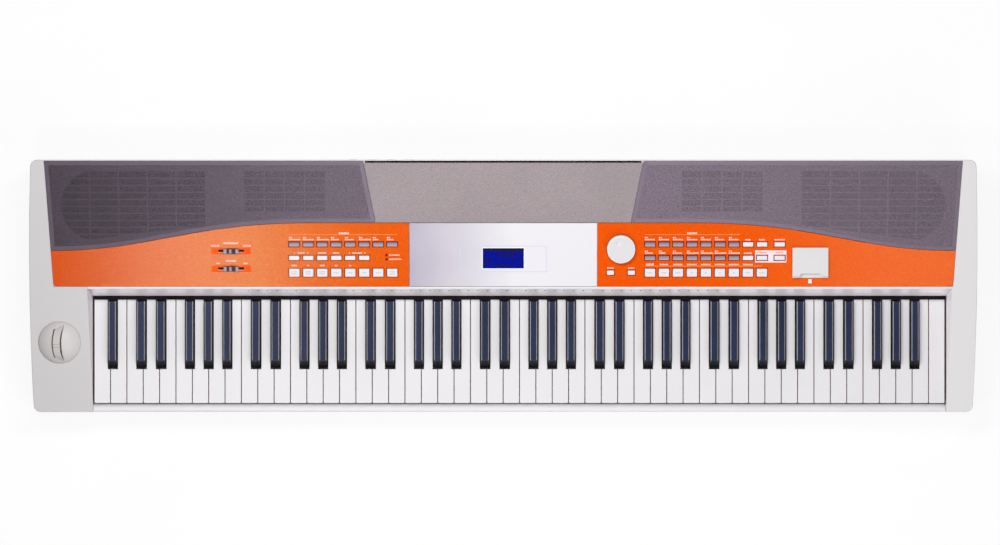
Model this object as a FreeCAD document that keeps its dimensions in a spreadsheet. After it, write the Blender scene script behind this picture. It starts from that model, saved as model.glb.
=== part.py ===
import FreeCAD, Part
import math
import os
from FreeCAD import Placement, Rotation, Vector

doc = FreeCAD.newDocument("arranger_keyboard")
sheet = doc.addObject("Spreadsheet::Sheet", "dim")
derived = doc.addObject("App::VarSet", "got")
aliases = []
nodes = []


def add_sizes(sizes):
    for alias, number in sizes.items():
        aliases.append(alias)
        row = len(aliases)
        sheet.set(f"A{row}", alias)
        sheet.set(f"B{row}", str(number))
        sheet.setAlias(f"B{row}", alias)
    sheet.recompute()


def derive(formulas):
    for name, formula in formulas.items():
        derived.addProperty("App::PropertyFloat", name)
        derived.setExpression(name, formula)
    derived.recompute()


def size(name):
    holder = sheet if name in aliases else derived
    return float(getattr(holder, name))


def bind(piece, **formulas):
    for name, formula in formulas.items():
        piece.setExpression(name, formula)
    return piece


def place(piece, x="0", y="0", z="0"):
    for axis, formula in zip("xyz", (x, y, z)):
        if formula != "0":
            piece.setExpression("Placement.Base." + axis, formula)
    return piece


def box(name, length, width, height, x="0", y="0", z="0"):
    piece = doc.addObject("Part::Box", name)
    bind(piece, Length=length, Width=width, Height=height)
    return place(piece, x, y, z)


def mid_box(name, length, width, height, x="0", y="0", z="0"):
    return box(name, length, width, height, f"{x} - ({length}) / 2", f"{y} - ({width}) / 2", z)


turns = {
    "z": Rotation(),
    "x": Rotation(Vector(0, 1, 0), 90),
    "y": Rotation(Vector(1, 0, 0), -90),
}


def rod(name, radius, height, x="0", y="0", z="0", along="z"):
    piece = doc.addObject("Part::Cylinder", name)
    piece.Placement = Placement(Vector(), turns[along])
    bind(piece, Radius=radius, Height=height)
    return place(piece, x, y, z)


def frustum(name, low, high, bottom, top):
    # a block with a rectangle (left, right, front, rear) at each of two heights
    piece = doc.addObject("Part::Wedge", name)
    piece.Placement = Placement(Vector(), Rotation(Vector(1, 0, 0), 90))
    bind(piece, Ymin=bottom, Ymax=top)
    bind(piece, Xmin=low[0], Xmax=low[1], Zmin=f"-({low[3]})", Zmax=f"-({low[2]})")
    bind(piece, X2min=high[0], X2max=high[1], Z2min=f"-({high[3]})", Z2max=f"-({high[2]})")
    return piece


def cut(name, base, tool):
    piece = doc.addObject("Part::Cut", name)
    piece.Base = base
    piece.Tool = tool
    piece.Refine = True
    return piece


def common(name, base, tool):
    piece = doc.addObject("Part::Common", name)
    piece.Base = base
    piece.Tool = tool
    return piece


def fuse(name, pieces):
    piece = doc.addObject("Part::MultiFuse", name)
    piece.Shapes = pieces
    piece.Refine = True
    return piece


def group(name, pieces):
    piece = doc.addObject("Part::Compound", name)
    piece.Links = pieces
    return piece


def mirror(name, source):
    piece = doc.addObject("Part::Mirroring", name)
    piece.Source = source
    piece.Normal = Vector(1, 0, 0)
    return piece


def flat(name, edges):
    piece = doc.addObject("Part::Feature", name)
    piece.Shape = Part.Face(Part.Wire(edges))
    return piece


def extrude(name, base, height, z="0"):
    piece = doc.addObject("Part::Extrusion", name)
    piece.Base = base
    piece.DirMode = "Custom"
    piece.Dir = Vector(0, 0, 1)
    piece.Solid = True
    bind(piece, LengthFwd=height)
    return place(piece, z=z)


def line(start, end):
    return Part.makeLine(Vector(*start, 0), Vector(*end, 0))


def arc(start, middle, end):
    points = [Vector(*point, 0) for point in (start, middle, end)]
    return Part.Arc(*points).toShape()


def polygon(points):
    return [line(a, b) for a, b in zip(points, points[1:] + points[:1])]


def tilt(piece):
    # onto the sloping top of the case: x across, y up the slope from the front edge, z out of it
    piece.Placement = Placement(Vector(), Rotation(Vector(1, 0, 0), 1))
    piece.setExpression("Placement.Rotation.Angle", "dim.top_slope_angle")
    return place(piece, y="got.front_y", z="dim.front_height")


def node(name, piece):
    piece.Label = name
    nodes.append(piece)
    return piece


white_count = 52
letters = "ABCDEFG"

case_sizes = {
    "key_pitch": 23.5,
    "key_gap": 1,
    "key_front_set": 12.9,
    "key_show": 148.6,
    "felt_show": 5.5,
    "left_cheek": 90.3,
    "right_cheek": 43.7,
    "well_gap": 2,
    "wall_run": 10,
    "side_run": 6,
    "front_rim": 3,
    "control_depth": 92.4,
    "grille_depth": 89.4,
    "rear_rim": 1.5,
    "top_slope_angle": 9,
    "front_height": 74,
    "side_bow": 3.5,
    "corner_radius": 10,
    "edge_round": 1.2,
    "case_wall": 3,
    "foot_height": 6,
    "split_height": 38,
    "overrun": 5,
    "fit_gap": 0.4,
    "seat_gap": 0.1,
    "move_gap": 0.35,
    "run_clearance": 0.05,
    "panel_margin_front": 34.3,
    "panel_margin_rear": 23,
    "plate": 3,
    "bed": 2.5,
    "display_half": 134.4,
    "deck_front_half": 182.3,
    "deck_rear_half": 200,
    "rest_slot": 3.2,
    "panel_corner": 5,
}
add_sizes(case_sizes)

derive({
    "keys_span": f"{white_count} * dim.key_pitch",
    "case_width": "got.keys_span + dim.left_cheek + dim.right_cheek",
    "case_half": "got.case_width / 2",
    "keys_left": "dim.left_cheek - got.case_half",
    "well_set": "dim.key_front_set + dim.key_show + dim.felt_show",
    "slope_cos": "cos(dim.top_slope_angle * 1deg)",
    "slope_tan": "tan(dim.top_slope_angle * 1deg)",
    "recess_front": "(got.well_set + dim.wall_run + dim.front_rim) / got.slope_cos",
    "upper_front": "got.recess_front + dim.control_depth",
    "recess_rear": "got.upper_front + dim.grille_depth",
    "case_run": "got.recess_rear + dim.rear_rim",
    "case_depth": "got.case_run * got.slope_cos",
    "front_y": "-got.case_depth / 2",
    "rear_height": "dim.front_height + got.case_depth * got.slope_tan",
    "recess_front_half": "got.case_half - dim.panel_margin_front",
    "recess_rear_half": "got.case_half - dim.panel_margin_rear",
    "bed_low": "-dim.plate - dim.bed",
    "floor": "dim.foot_height + dim.case_wall",
})

# the key action: keys hook over one long rod at their rear ends
key_sizes = {
    "key_height": 18,
    "key_top_drop": 0,
    "axis_set": 217,
    "axis_drop": 12,
    "rod_radius": 2,
    "rod_clearance": 0.1,
    "key_travel_angle": 2.8,
    "black_front_set": 63.4,
    "black_gap": 0.75,
    "notch_gap": 1.8,
    "black_rise": 11.5,
    "black_skirt": 4,
    "black_side_run": 1.5,
    "black_front_run": 9,
    "black_rear_run": 1,
    "black_rear_gap": 1.2,
    "black_corner": 1.8,
    "felt_thickness": 2,
    "felt_tuck": 3.5,
    "felt_rise": 1.4,
}
add_sizes(key_sizes)
derive({
    "key_top": "dim.front_height - dim.key_top_drop",
    "axis_height": "got.key_top - dim.axis_drop",
    "key_low": "got.key_top - dim.key_height",
    "key_front": "got.front_y + dim.key_front_set",
    "axis_y": "got.front_y + dim.axis_set",
    "key_end": "got.axis_y - dim.move_gap",
    "head_length": "dim.black_front_set - dim.notch_gap - dim.key_front_set",
    "felt_front": "got.key_front + dim.key_show",
    "felt_low": "got.key_top + dim.felt_rise",
    "well_low": "got.felt_low + dim.felt_thickness + dim.seat_gap",
    "well_rear": "got.front_y + got.well_set",
    "well_rise": "dim.front_height + (got.well_set + dim.wall_run) * got.slope_tan - got.well_low",
    "well_high": "got.well_low + got.well_rise + dim.overrun * 2",
    "run_share": "(got.well_high - got.well_low) / got.well_rise",
    "well_left": "got.keys_left - dim.well_gap",
    "well_right": "got.keys_left + got.keys_span + dim.well_gap",
})


# case
def case_outline(name, inset):
    half = size("case_half") - size("side_bow") - inset
    middle = size("case_half") - inset
    deep = size("case_depth") / 2 - inset
    radius = size("corner_radius") - inset
    bend = radius * (1 - math.sqrt(1 / 2))
    edges = [line((radius - half, -deep), (half - radius, -deep))]
    edges.append(arc((half - radius, -deep), (half - bend, bend - deep), (half, radius - deep)))
    edges.append(arc((half, radius - deep), (middle, 0), (half, deep - radius)))
    edges.append(arc((half, deep - radius), (half - bend, deep - bend), (half - radius, deep)))
    edges.append(line((half - radius, deep), (radius - half, deep)))
    edges.append(arc((radius - half, deep), (bend - half, deep - bend), (-half, deep - radius)))
    edges.append(arc((-half, deep - radius), (-middle, 0), (-half, radius - deep)))
    edges.append(arc((-half, radius - deep), (bend - half, bend - deep), (radius - half, -deep)))
    return flat(name, edges)


outline = case_outline("case_outline", 0)
inner_outline = case_outline("inner_outline", size("case_wall"))


def sky(name, drop):
    width = "got.case_width + 2 * dim.overrun"
    run = "got.case_run + 4 * dim.overrun"
    above = box(name + "_box", width, run, "got.rear_height",
                "-got.case_half - dim.overrun", "-2 * dim.overrun", drop)
    return tilt(group(name, [above]))


upper_tall = "got.rear_height - dim.split_height + dim.overrun"
outer_prism = extrude("outer_prism", outline, upper_tall, "dim.split_height")
outer = cut("outer", outer_prism, sky("outer_sky", "0"))
outer.recompute(True)
top_normal = Vector(0, -math.sin(math.radians(size("top_slope_angle"))), size("slope_cos"))
top_point = Vector(0, size("front_y"), size("front_height"))
top_edges = []
for number, edge in enumerate(outer.Shape.Edges, 1):
    heights = [abs((vertex.Point - top_point).dot(top_normal)) for vertex in edge.Vertexes]
    if max(heights) < size("edge_round") / 100:
        top_edges.append((number, size("edge_round"), size("edge_round")))
rounded = doc.addObject("Part::Fillet", "rounded_outer")
rounded.Base = outer
rounded.Edges = top_edges

cavity_prism = extrude("cavity_prism", inner_outline, upper_tall + " + dim.overrun",
                       "dim.split_height - dim.overrun")
cavity = cut("cavity", cavity_prism, sky("cavity_sky", "-dim.case_wall"))
shell = cut("shell", rounded, cavity)

bed_half = "(got.recess_rear_half + dim.case_wall)"
bed_block = tilt(group("bed_block", [
    box("bed_box", f"2 * {bed_half}", "got.recess_rear - got.recess_front + dim.case_wall",
        "dim.bed + dim.plate - dim.case_wall / 2", f"-{bed_half}",
        "got.recess_front - dim.case_wall", "got.bed_low")]))

skirt = frustum(
    "skirt_block",
    ("got.well_left - dim.case_wall", "got.well_right + dim.case_wall",
     "got.front_y", "got.well_rear + dim.case_wall"),
    ("got.well_left - dim.case_wall - dim.side_run * got.run_share",
     "got.well_right + dim.case_wall + dim.side_run * got.run_share",
     "got.front_y", "got.well_rear + dim.case_wall + dim.wall_run * got.run_share"),
    "got.well_low", "got.well_high")
side_tall = "got.well_low - dim.split_height + dim.case_wall"
side_long = "got.well_rear - got.front_y + dim.case_wall"
left_side = box("left_well_side", "dim.case_wall", side_long, side_tall,
                "got.well_left - dim.case_wall", "got.front_y", "dim.split_height")
right_side = box("right_well_side", "dim.case_wall", side_long, side_tall,
                 "got.well_right", "got.front_y", "dim.split_height")
skirts = common("skirts", fuse("skirt_blocks", [skirt, left_side, right_side]), rounded)

well = frustum(
    "well_upper",
    ("got.well_left", "got.well_right", "got.front_y - dim.overrun", "got.well_rear"),
    ("got.well_left - dim.side_run * got.run_share", "got.well_right + dim.side_run * got.run_share",
     "got.front_y - dim.overrun", "got.well_rear + dim.wall_run * got.run_share"),
    "got.well_low", "got.well_high")
well_box = box("well_lower", "got.well_right - got.well_left", "got.well_set + dim.overrun",
               "got.well_low - dim.split_height + dim.overrun + dim.seat_gap",
               "got.well_left", "got.front_y - dim.overrun", "dim.split_height - dim.overrun")


def recess_half(run):
    share = (run - size("recess_front")) / (size("recess_rear") - size("recess_front"))
    grow = size("recess_rear_half") - size("recess_front_half")
    return size("recess_front_half") + share * grow


def recess_points(gap):
    front = size("recess_front") + gap
    rear = size("recess_rear") - gap
    wide_front = recess_half(front) - gap
    wide_rear = recess_half(rear) - gap
    return [(-wide_front, front), (wide_front, front), (wide_rear, rear), (-wide_rear, rear)]


recess = tilt(group("recess", [extrude(
    "recess_prism", flat("recess_face", polygon(recess_points(0))),
    "dim.plate + dim.overrun", "-dim.plate")]))

# case posts take the screws that come up through the floor
post_sizes = {
    "post_radius": 4.5,
    "post_set": 15,
    "screw_radius": 1.5,
    "screw_length": 16,
    "screw_head_radius": 3.2,
    "screw_head": 2,
    "post_inner_share": 0.52,
    "post_outer_share": 0.94,
}
add_sizes(post_sizes)
rear_places = []
for share in ("-dim.post_outer_share", "-dim.post_inner_share",
              "dim.post_inner_share", "dim.post_outer_share"):
    rear_places.append((f"{share} * got.case_half", "-got.front_y - dim.post_set"))
front_places = []
for side in ("-1", "1"):
    front_places.append((f"{side} * (got.case_half - dim.side_bow - dim.post_set)",
                         "got.front_y + dim.post_set"))
standoffs = []
screws = []
screw_holes = []
for row, places, drop in (("rear", rear_places, "got.bed_low - dim.seat_gap"),
                          ("front", front_places, "-dim.case_wall - dim.seat_gap")):
    posts = []
    pilots = []
    for count, (x, y) in enumerate(places):
        tag = f"{row}_{count}"
        posts.append(rod(f"post_{tag}", "dim.post_radius", "got.rear_height", x, y,
                         "got.floor + dim.seat_gap"))
        pilots.append(rod(f"pilot_{tag}", "dim.screw_radius + dim.run_clearance",
                          "dim.screw_length + dim.overrun", x, y, "dim.foot_height"))
        head = rod(f"screw_head_{tag}", "dim.screw_head_radius", "dim.screw_head", x, y,
                   "dim.foot_height - dim.screw_head")
        shank = rod(f"screw_shank_{tag}", "dim.screw_radius", "dim.screw_length", x, y,
                    "dim.foot_height")
        screws.append(fuse(f"screw_{tag}", [head, shank]))
        screw_holes.append(rod(f"screw_hole_{tag}", "dim.screw_radius + dim.run_clearance",
                               "dim.case_wall + 2 * dim.overrun", x, y, "dim.foot_height - dim.overrun"))
    trimmed = cut(f"{row}_posts_trimmed", group(f"{row}_posts", posts), sky(f"{row}_post_sky", drop))
    standoffs.append(cut(f"{row}_posts_drilled", trimmed, group(f"{row}_pilots", pilots)))
node("case_screws", group("screws", screws))

# control panel layout, measured from the display plate and up the slope from the plates' front
button_sizes = {
    "button_pitch": 20,
    "button_width": 14.8,
    "small_button": 6.4,
    "large_button": 11.6,
    "left_bank_set": 24.35,
    "right_bank_set": 75.35,
    "far_pitch": 25.2,
    "row_low_set": 20.5,
    "row_low_pitch": 21.4,
    "row_high_pitch": 19.5,
    "value_width": 10.2,
    "value_set": 18.8,
    "value_pitch": 29.9,
    "cap_rise": 1.8,
    "cap_flange": 1.2,
    "flange_margin": 1.6,
    "button_gap": 0.8,
    "stem_size": 4,
    "button_travel": 1,
    "switch_size": 6,
    "switch_height": 3.5,
    "board": 1.6,
    "board_drop": 14,
    "board_margin": 8,
    "board_post_radius": 2.5,
    "bed_ledge": 3,
}
add_sizes(button_sizes)
derive({
    "row_low": "got.recess_front + dim.row_low_set",
    "row_mid": "got.row_low + dim.row_low_pitch",
    "row_high": "got.row_mid + dim.row_high_pitch",
    "left_bank": "-dim.display_half - dim.left_bank_set - 7 * dim.button_pitch",
    "right_bank": "dim.display_half + dim.right_bank_set",
    "far_button": "got.right_bank + 8 * dim.button_pitch + dim.far_pitch",
    "value_button": "dim.display_half + dim.value_set",
    "stem_low": "dim.board + dim.switch_height + dim.button_travel + dim.fit_gap - dim.board_drop",
})
small = ("dim.button_width", "dim.small_button")
large = ("dim.button_width", "dim.large_button")
value = ("dim.value_width", "dim.small_button")


def bank(first, numbers, row, shape):
    return [(f"{first} + {number} * dim.button_pitch", row, shape) for number in numbers]


button_nodes = {
    "style_buttons": bank("got.left_bank", range(8), "got.row_high", small),
    "function_buttons": bank("got.left_bank", range(6), "got.row_mid", small),
    "pad_buttons": bank("got.left_bank", range(8), "got.row_low", large),
    "value_buttons": [("got.value_button", "got.row_low", value),
                      ("got.value_button + dim.value_pitch", "got.row_low", value)],
    "voice_buttons": (bank("got.right_bank", range(7), "got.row_high", small)
                      + bank("got.right_bank", range(7), "got.row_mid", small)),
    "option_buttons": (bank("got.right_bank", (7, 8), "got.row_high", small)
                       + bank("got.right_bank", (7, 8), "got.row_mid", small)
                       + [("got.far_button", "got.row_high", small),
                          ("got.far_button", "got.row_mid", small)]),
    "recorder_buttons": bank("got.right_bank", range(9), "got.row_low", large),
}
holes = {"left": [], "right": []}
switches = {"left": [], "right": []}
for name, places in button_nodes.items():
    caps = []
    for count, (x, y, (wide, deep)) in enumerate(places):
        tag = f"{name}_{count}"
        side = "left" if x.startswith("got.left_bank") else "right"
        cap = mid_box(tag + "_cap", wide, deep, "dim.cap_rise + dim.plate + dim.fit_gap + dim.cap_flange / 2",
                      x, y, "-dim.plate - dim.fit_gap - dim.cap_flange / 2")
        rim = mid_box(tag + "_rim", f"{wide} + 2 * dim.flange_margin", f"{deep} + 2 * dim.flange_margin",
                      "dim.cap_flange", x, y, "-dim.plate - dim.move_gap - dim.cap_flange")
        stem_tall = "-got.stem_low - dim.plate - dim.move_gap"
        stem = mid_box(tag + "_stem", "dim.stem_size", "dim.stem_size", stem_tall, x, y, "got.stem_low")
        caps.append(fuse(tag, [cap, rim, stem]))
        holes[side].append(mid_box(tag + "_hole", f"{wide} + 2 * dim.button_gap",
                                   f"{deep} + 2 * dim.button_gap", "dim.plate + 2 * dim.overrun", x, y,
                                   "-dim.plate - dim.overrun"))
        switches[side].append(mid_box(tag + "_switch", "dim.switch_size", "dim.switch_size",
                                      "dim.switch_height + dim.board / 2", x, y,
                                      "dim.board / 2 - dim.board_drop"))
    node(name, tilt(group(name + "_row", caps)))

# switch boards hang on posts under the bed
board_ranges = {
    "left": ("got.left_bank", "got.left_bank + 7 * dim.button_pitch"),
    "right": ("got.right_bank", "got.far_button"),
}
bed_holes = []
boards = []
edge_room = "dim.button_width / 2 + dim.flange_margin + dim.bed_ledge"
for side, (first, last) in board_ranges.items():
    left = f"{first} - ({edge_room})"
    wide = f"{last} - ({first}) + 2 * ({edge_room})"
    front = f"got.row_low - ({edge_room})"
    deep = f"got.row_high - got.row_low + 2 * ({edge_room})"
    bed_holes.append(box(f"{side}_bed_hole", wide, deep, "dim.bed + 2 * dim.overrun", left, front,
                         "got.bed_low - dim.overrun"))
    parts = [box(f"{side}_board", f"{wide} + 2 * dim.board_margin", f"{deep} + 2 * dim.board_margin",
                 "dim.board", f"{left} - dim.board_margin", f"{front} - dim.board_margin",
                 "-dim.board_drop")]
    for far_x in (0, 1):
        for far_y in (0, 1):
            x = f"{left} - dim.board_margin / 2 + {far_x} * ({wide} + dim.board_margin)"
            y = f"{front} - dim.board_margin / 2 + {far_y} * ({deep} + dim.board_margin)"
            parts.append(rod(f"{side}_post_{far_x}{far_y}", "dim.board_post_radius",
                             "dim.board_drop + got.bed_low - dim.board / 2 - dim.seat_gap", x, y,
                             "dim.board / 2 - dim.board_drop"))
    boards.append(fuse(f"{side}_switch_board", parts + switches[side]))

# the two small buttons under the dial have a board of their own
value_room = "dim.value_width / 2 + dim.flange_margin + dim.bed_ledge"
value_left = f"got.value_button - ({value_room})"
value_wide = f"dim.value_pitch + 2 * ({value_room})"
value_deep = "dim.small_button + 2 * (dim.flange_margin + dim.bed_ledge)"
value_front = f"got.row_low - ({value_deep}) / 2"

# sliders
slider_sizes = {
    "slider_set": 90.25,
    "slider_low_set": 26.2,
    "slider_row_pitch": 25.4,
    "slider_dish": 56.2,
    "slider_dish_width": 8.6,
    "slider_dish_depth": 1.2,
    "slider_slot_width": 2.6,
    "slider_cap": 21.6,
    "slider_cap_width": 6.8,
    "slider_cap_top": 5.5,
    "slider_grip": 9,
    "slider_grip_depth": 1.6,
    "lever": 6,
    "lever_width": 1.6,
    "slider_travel": 15,
    "pot_height": 7,
    "pot_wall": 1.2,
}
add_sizes(slider_sizes)
derive({
    "slider_x": "got.left_bank - dim.slider_set",
    "slider_slot": "dim.lever + 2 * dim.slider_travel + 2 * dim.fit_gap",
    "pot_width": "dim.lever_width + 2 * dim.fit_gap + 4 * dim.pot_wall",
    "pot_length": "got.slider_slot + 4 * dim.pot_wall",
    "pot_top": "got.bed_low - dim.seat_gap",
    "lever_low": "got.pot_top - dim.pot_height + 2 * dim.pot_wall",
})
pots = []
for name, row in (("volume_slider", "0"), ("balance_slider", "dim.slider_row_pitch")):
    y = f"got.recess_front + dim.slider_low_set + {row}"
    low = "dim.move_gap - dim.slider_dish_depth"
    body = mid_box(name + "_body", "dim.slider_cap", "dim.slider_cap_width",
                   f"dim.slider_cap_top - ({low})", "got.slider_x", y, low)
    scoop = mid_box(name + "_scoop", "dim.slider_grip", "dim.slider_cap_width + 2 * dim.overrun",
                    "dim.slider_grip_depth + dim.overrun", "got.slider_x", y,
                    "dim.slider_cap_top - dim.slider_grip_depth")
    lever = mid_box(name + "_lever", "dim.lever", "dim.lever_width", "-got.lever_low",
                    "got.slider_x", y, "got.lever_low")
    node(name, tilt(fuse(name + "_knob", [cut(name + "_cap", body, scoop), lever])))
    holes["left"].append(mid_box(name + "_dish", "dim.slider_dish", "dim.slider_dish_width",
                                 "dim.slider_dish_depth + dim.overrun", "got.slider_x", y,
                                 "-dim.slider_dish_depth"))
    holes["left"].append(mid_box(name + "_slot", "got.slider_slot", "dim.slider_slot_width",
                                 "dim.plate + 2 * dim.overrun", "got.slider_x", y,
                                 "-dim.plate - dim.overrun"))
    bed_holes.append(mid_box(name + "_bed_slot", "got.slider_slot", "dim.slider_slot_width",
                             "dim.bed + 2 * dim.overrun", "got.slider_x", y,
                             "got.bed_low - dim.overrun"))
    pot = mid_box(name + "_pot_body", "got.pot_length", "got.pot_width", "dim.pot_height",
                  "got.slider_x", y, "got.pot_top - dim.pot_height")
    groove = mid_box(name + "_pot_groove", "got.slider_slot", "dim.lever_width + 2 * dim.fit_gap",
                     "dim.pot_height - dim.pot_wall + dim.overrun", "got.slider_x", y,
                     "got.pot_top - dim.pot_height + dim.pot_wall")
    pots.append(cut(name + "_pot", pot, groove))

# data dial, turned, with a finger dimple; its shaft runs in the encoder
dial_sizes = {
    "dial_set": 33.8,
    "dial_row_set": 55.4,
    "dial_radius": 20.1,
    "dial_height": 11,
    "dial_round": 2,
    "dial_shaft_radius": 3,
    "dial_shaft_drop": 11,
    "dimple_radius": 7,
    "dimple_depth": 1.4,
    "dimple_set": 12.6,
    "dimple_angle": 112,
    "encoder_size": 13,
    "encoder_height": 8,
    "bushing_wall": 1.2,
}
add_sizes(dial_sizes)
derive({
    "dial_x": "dim.display_half + dim.dial_set",
    "dial_y": "got.recess_front + dim.dial_row_set",
    "bore_radius": "dim.dial_shaft_radius + dim.run_clearance",
    "bushing_radius": "got.bore_radius + dim.bushing_wall",
    "encoder_low": "got.pot_top - dim.encoder_height",
})


def origin_plane(body, role):
    return [feature for feature in body.Origin.OriginFeatures if feature.Role == role][0]


def profile(body, corners):
    # a closed outline of straight sides on the body's upright plane, held by its corner sizes
    import Sketcher
    sketch = body.newObject("Sketcher::SketchObject", body.Name + "_profile")
    sketch.AttachmentSupport = [(origin_plane(body, "XZ_Plane"), "")]
    sketch.MapMode = "FlatFace"
    total = len(corners)
    for count in range(total):
        start = Vector(1 + count, 1 + count * count, 0)
        following = (count + 1) % total
        end = Vector(1 + following, 1 + following * following, 0)
        sketch.addGeometry(Part.LineSegment(start, end))
    for count in range(total):
        sketch.addConstraint(Sketcher.Constraint("Coincident", count, 2, (count + 1) % total, 1))
    for count, corner in enumerate(corners):
        for kind, axis, formula in zip(("DistanceX", "DistanceY"), (-2, -1), corner):
            if formula == "0":
                sketch.addConstraint(Sketcher.Constraint("PointOnObject", count, 1, axis))
                continue
            held = sketch.addConstraint(Sketcher.Constraint(kind, -1, 1, count, 1, 1))
            sketch.setExpression(f"Constraints[{held}]", formula)
    return sketch


def turned(name, corners):
    body = doc.addObject("PartDesign::Body", name)
    sketch = profile(body, corners)
    turn = body.newObject("PartDesign::Revolution", name + "_turn")
    turn.Profile = sketch
    turn.ReferenceAxis = (sketch, ["V_Axis"])
    turn.Angle = 360
    body.Tip = turn
    return body


dial_low = "(dim.dial_shaft_drop + dim.move_gap)"
dial_high = f"({dial_low} + dim.dial_height)"
dial_turned = turned("dial_turned", [
    ("0", "0"), ("dim.dial_shaft_radius", "0"), ("dim.dial_shaft_radius", dial_low),
    ("dim.dial_radius", dial_low), ("dim.dial_radius", f"{dial_high} - dim.dial_round"),
    ("dim.dial_radius - dim.dial_round", dial_high), ("0", dial_high)])
dimple = doc.addObject("Part::Sphere", "dimple")
bind(dimple, Radius="dim.dimple_radius")
place(dimple, "dim.dimple_set * cos(dim.dimple_angle * 1deg)",
      "dim.dimple_set * sin(dim.dimple_angle * 1deg)",
      f"{dial_high} + dim.dimple_radius - dim.dimple_depth")
dial = cut("dial", dial_turned, dimple)
place(dial, "got.dial_x", "got.dial_y", "-dim.dial_shaft_drop")
node("data_dial", tilt(group("dial_on_top", [dial])))
holes["right"].append(rod("dial_hole", "got.bushing_radius + dim.fit_gap", "dim.plate + 2 * dim.overrun",
                          "got.dial_x", "got.dial_y", "-dim.plate - dim.overrun"))
bed_holes.append(rod("dial_bed_hole", "got.bushing_radius + dim.fit_gap", "dim.bed + 2 * dim.overrun",
                     "got.dial_x", "got.dial_y", "got.bed_low - dim.overrun"))
encoder_body = mid_box("encoder_body", "dim.encoder_size", "dim.encoder_size", "dim.encoder_height",
                       "got.dial_x", "got.dial_y", "got.encoder_low")
bushing = rod("encoder_bushing", "got.bushing_radius", "-got.pot_top - dim.fit_gap + dim.pot_wall",
              "got.dial_x", "got.dial_y", "got.pot_top - dim.pot_wall")
encoder_bore = rod("encoder_bore", "got.bore_radius", "dim.dial_shaft_drop + dim.overrun + dim.fit_gap",
                   "got.dial_x", "got.dial_y", "-dim.dial_shaft_drop - dim.fit_gap")
encoder = cut("encoder", fuse("encoder_solid", [encoder_body, bushing]), encoder_bore)
node("control_bodies", tilt(group("pots_and_encoder", pots + [encoder])))

value_drop = "(dim.board_drop + dim.board)"
value_board = box("value_board", value_wide, value_deep, "dim.board", value_left, value_front,
                  "-dim.board_drop")
value_posts = []
for far in (0, 1):
    x = f"{value_left} + dim.board_post_radius * (1 - 2 * {far}) + {far} * ({value_wide})"
    value_posts.append(rod(f"value_post_{far}", "dim.board_post_radius",
                           "dim.board_drop + got.bed_low - dim.board / 2 - dim.seat_gap", x,
                           "got.row_low", "dim.board / 2 - dim.board_drop"))
value_hole_room = "(dim.value_width + 2 * (dim.flange_margin + dim.fit_gap))"
value_switches = [piece for piece in switches["right"] if piece.Name.startswith("value_buttons")]
for count in (0, 1):
    bed_holes.append(mid_box(f"value_bed_hole_{count}", value_hole_room,
                             "dim.small_button + 2 * (dim.flange_margin + dim.fit_gap)",
                             "dim.bed + 2 * dim.overrun", f"got.value_button + {count} * dim.value_pitch",
                             "got.row_low", "got.bed_low - dim.overrun"))
right_switches = [piece for piece in switches["right"] if piece not in value_switches]
boards[1].Shapes = [piece for piece in boards[1].Shapes if piece not in value_switches]
boards.append(fuse("value_switch_board", [value_board] + value_posts + value_switches))
node("switch_boards", tilt(group("button_boards", boards)))

# display
display_sizes = {
    "glass_width": 58.7,
    "glass_depth": 29.3,
    "glass_lap": 4,
    "glass": 2.2,
    "display_row_set": 41.1,
    "module_lap": 8,
    "module_height": 9,
}
add_sizes(display_sizes)
derive({"display_row": "got.recess_front + dim.display_row_set"})
window = mid_box("display_hole", "dim.glass_width", "dim.glass_depth", "dim.plate + 2 * dim.overrun", "0",
                 "got.display_row", "-dim.plate - dim.overrun")
glass_wide = "dim.glass_width + 2 * dim.glass_lap"
glass_deep = "dim.glass_depth + 2 * dim.glass_lap"
node("display_glass", tilt(group("glass", [mid_box(
    "glass_box", glass_wide, glass_deep, "dim.glass", "0", "got.display_row",
    "-dim.plate - dim.seat_gap - dim.glass")])))
bed_holes.append(mid_box("glass_bed_hole", f"{glass_wide} + 2 * dim.fit_gap",
                         f"{glass_deep} + 2 * dim.fit_gap", "dim.bed + 2 * dim.overrun", "0",
                         "got.display_row", "got.bed_low - dim.overrun"))
node("display_module", tilt(group("module", [mid_box(
    "module_box", f"{glass_wide} + 2 * dim.module_lap", f"{glass_deep} + 2 * dim.module_lap",
    "dim.module_height", "0", "got.display_row", "got.pot_top - dim.module_height")])))

# lamps
lamp_sizes = {
    "lamp_radius": 1.75,
    "lamp_rise": 0.6,
    "lamp_leg": 8,
    "lamp_set": 8.25,
    "lamp_row_set": 42.85,
    "lamp_pitch": 6.1,
    "card_lamp_width": 4.8,
    "card_lamp_depth": 5.8,
    "card_lamp_set": 7.9,
}
add_sizes(lamp_sizes)
red_lamps = []
lamp_x = "got.left_bank + 7 * dim.button_pitch - dim.lamp_set"
for count, way in enumerate(("-1", "1")):
    y = f"got.recess_front + dim.lamp_row_set + {way} * dim.lamp_pitch / 2"
    red_lamps.append(rod(f"red_lamp_{count}", "dim.lamp_radius", "dim.lamp_leg + dim.lamp_rise", lamp_x, y,
                         "-dim.lamp_leg"))
    holes["left"].append(rod(f"red_lamp_hole_{count}", "dim.lamp_radius + dim.seat_gap",
                             "dim.plate + 2 * dim.overrun", lamp_x, y, "-dim.plate - dim.overrun"))
node("red_lamps", tilt(group("red_lamp_pair", red_lamps)))

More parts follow.
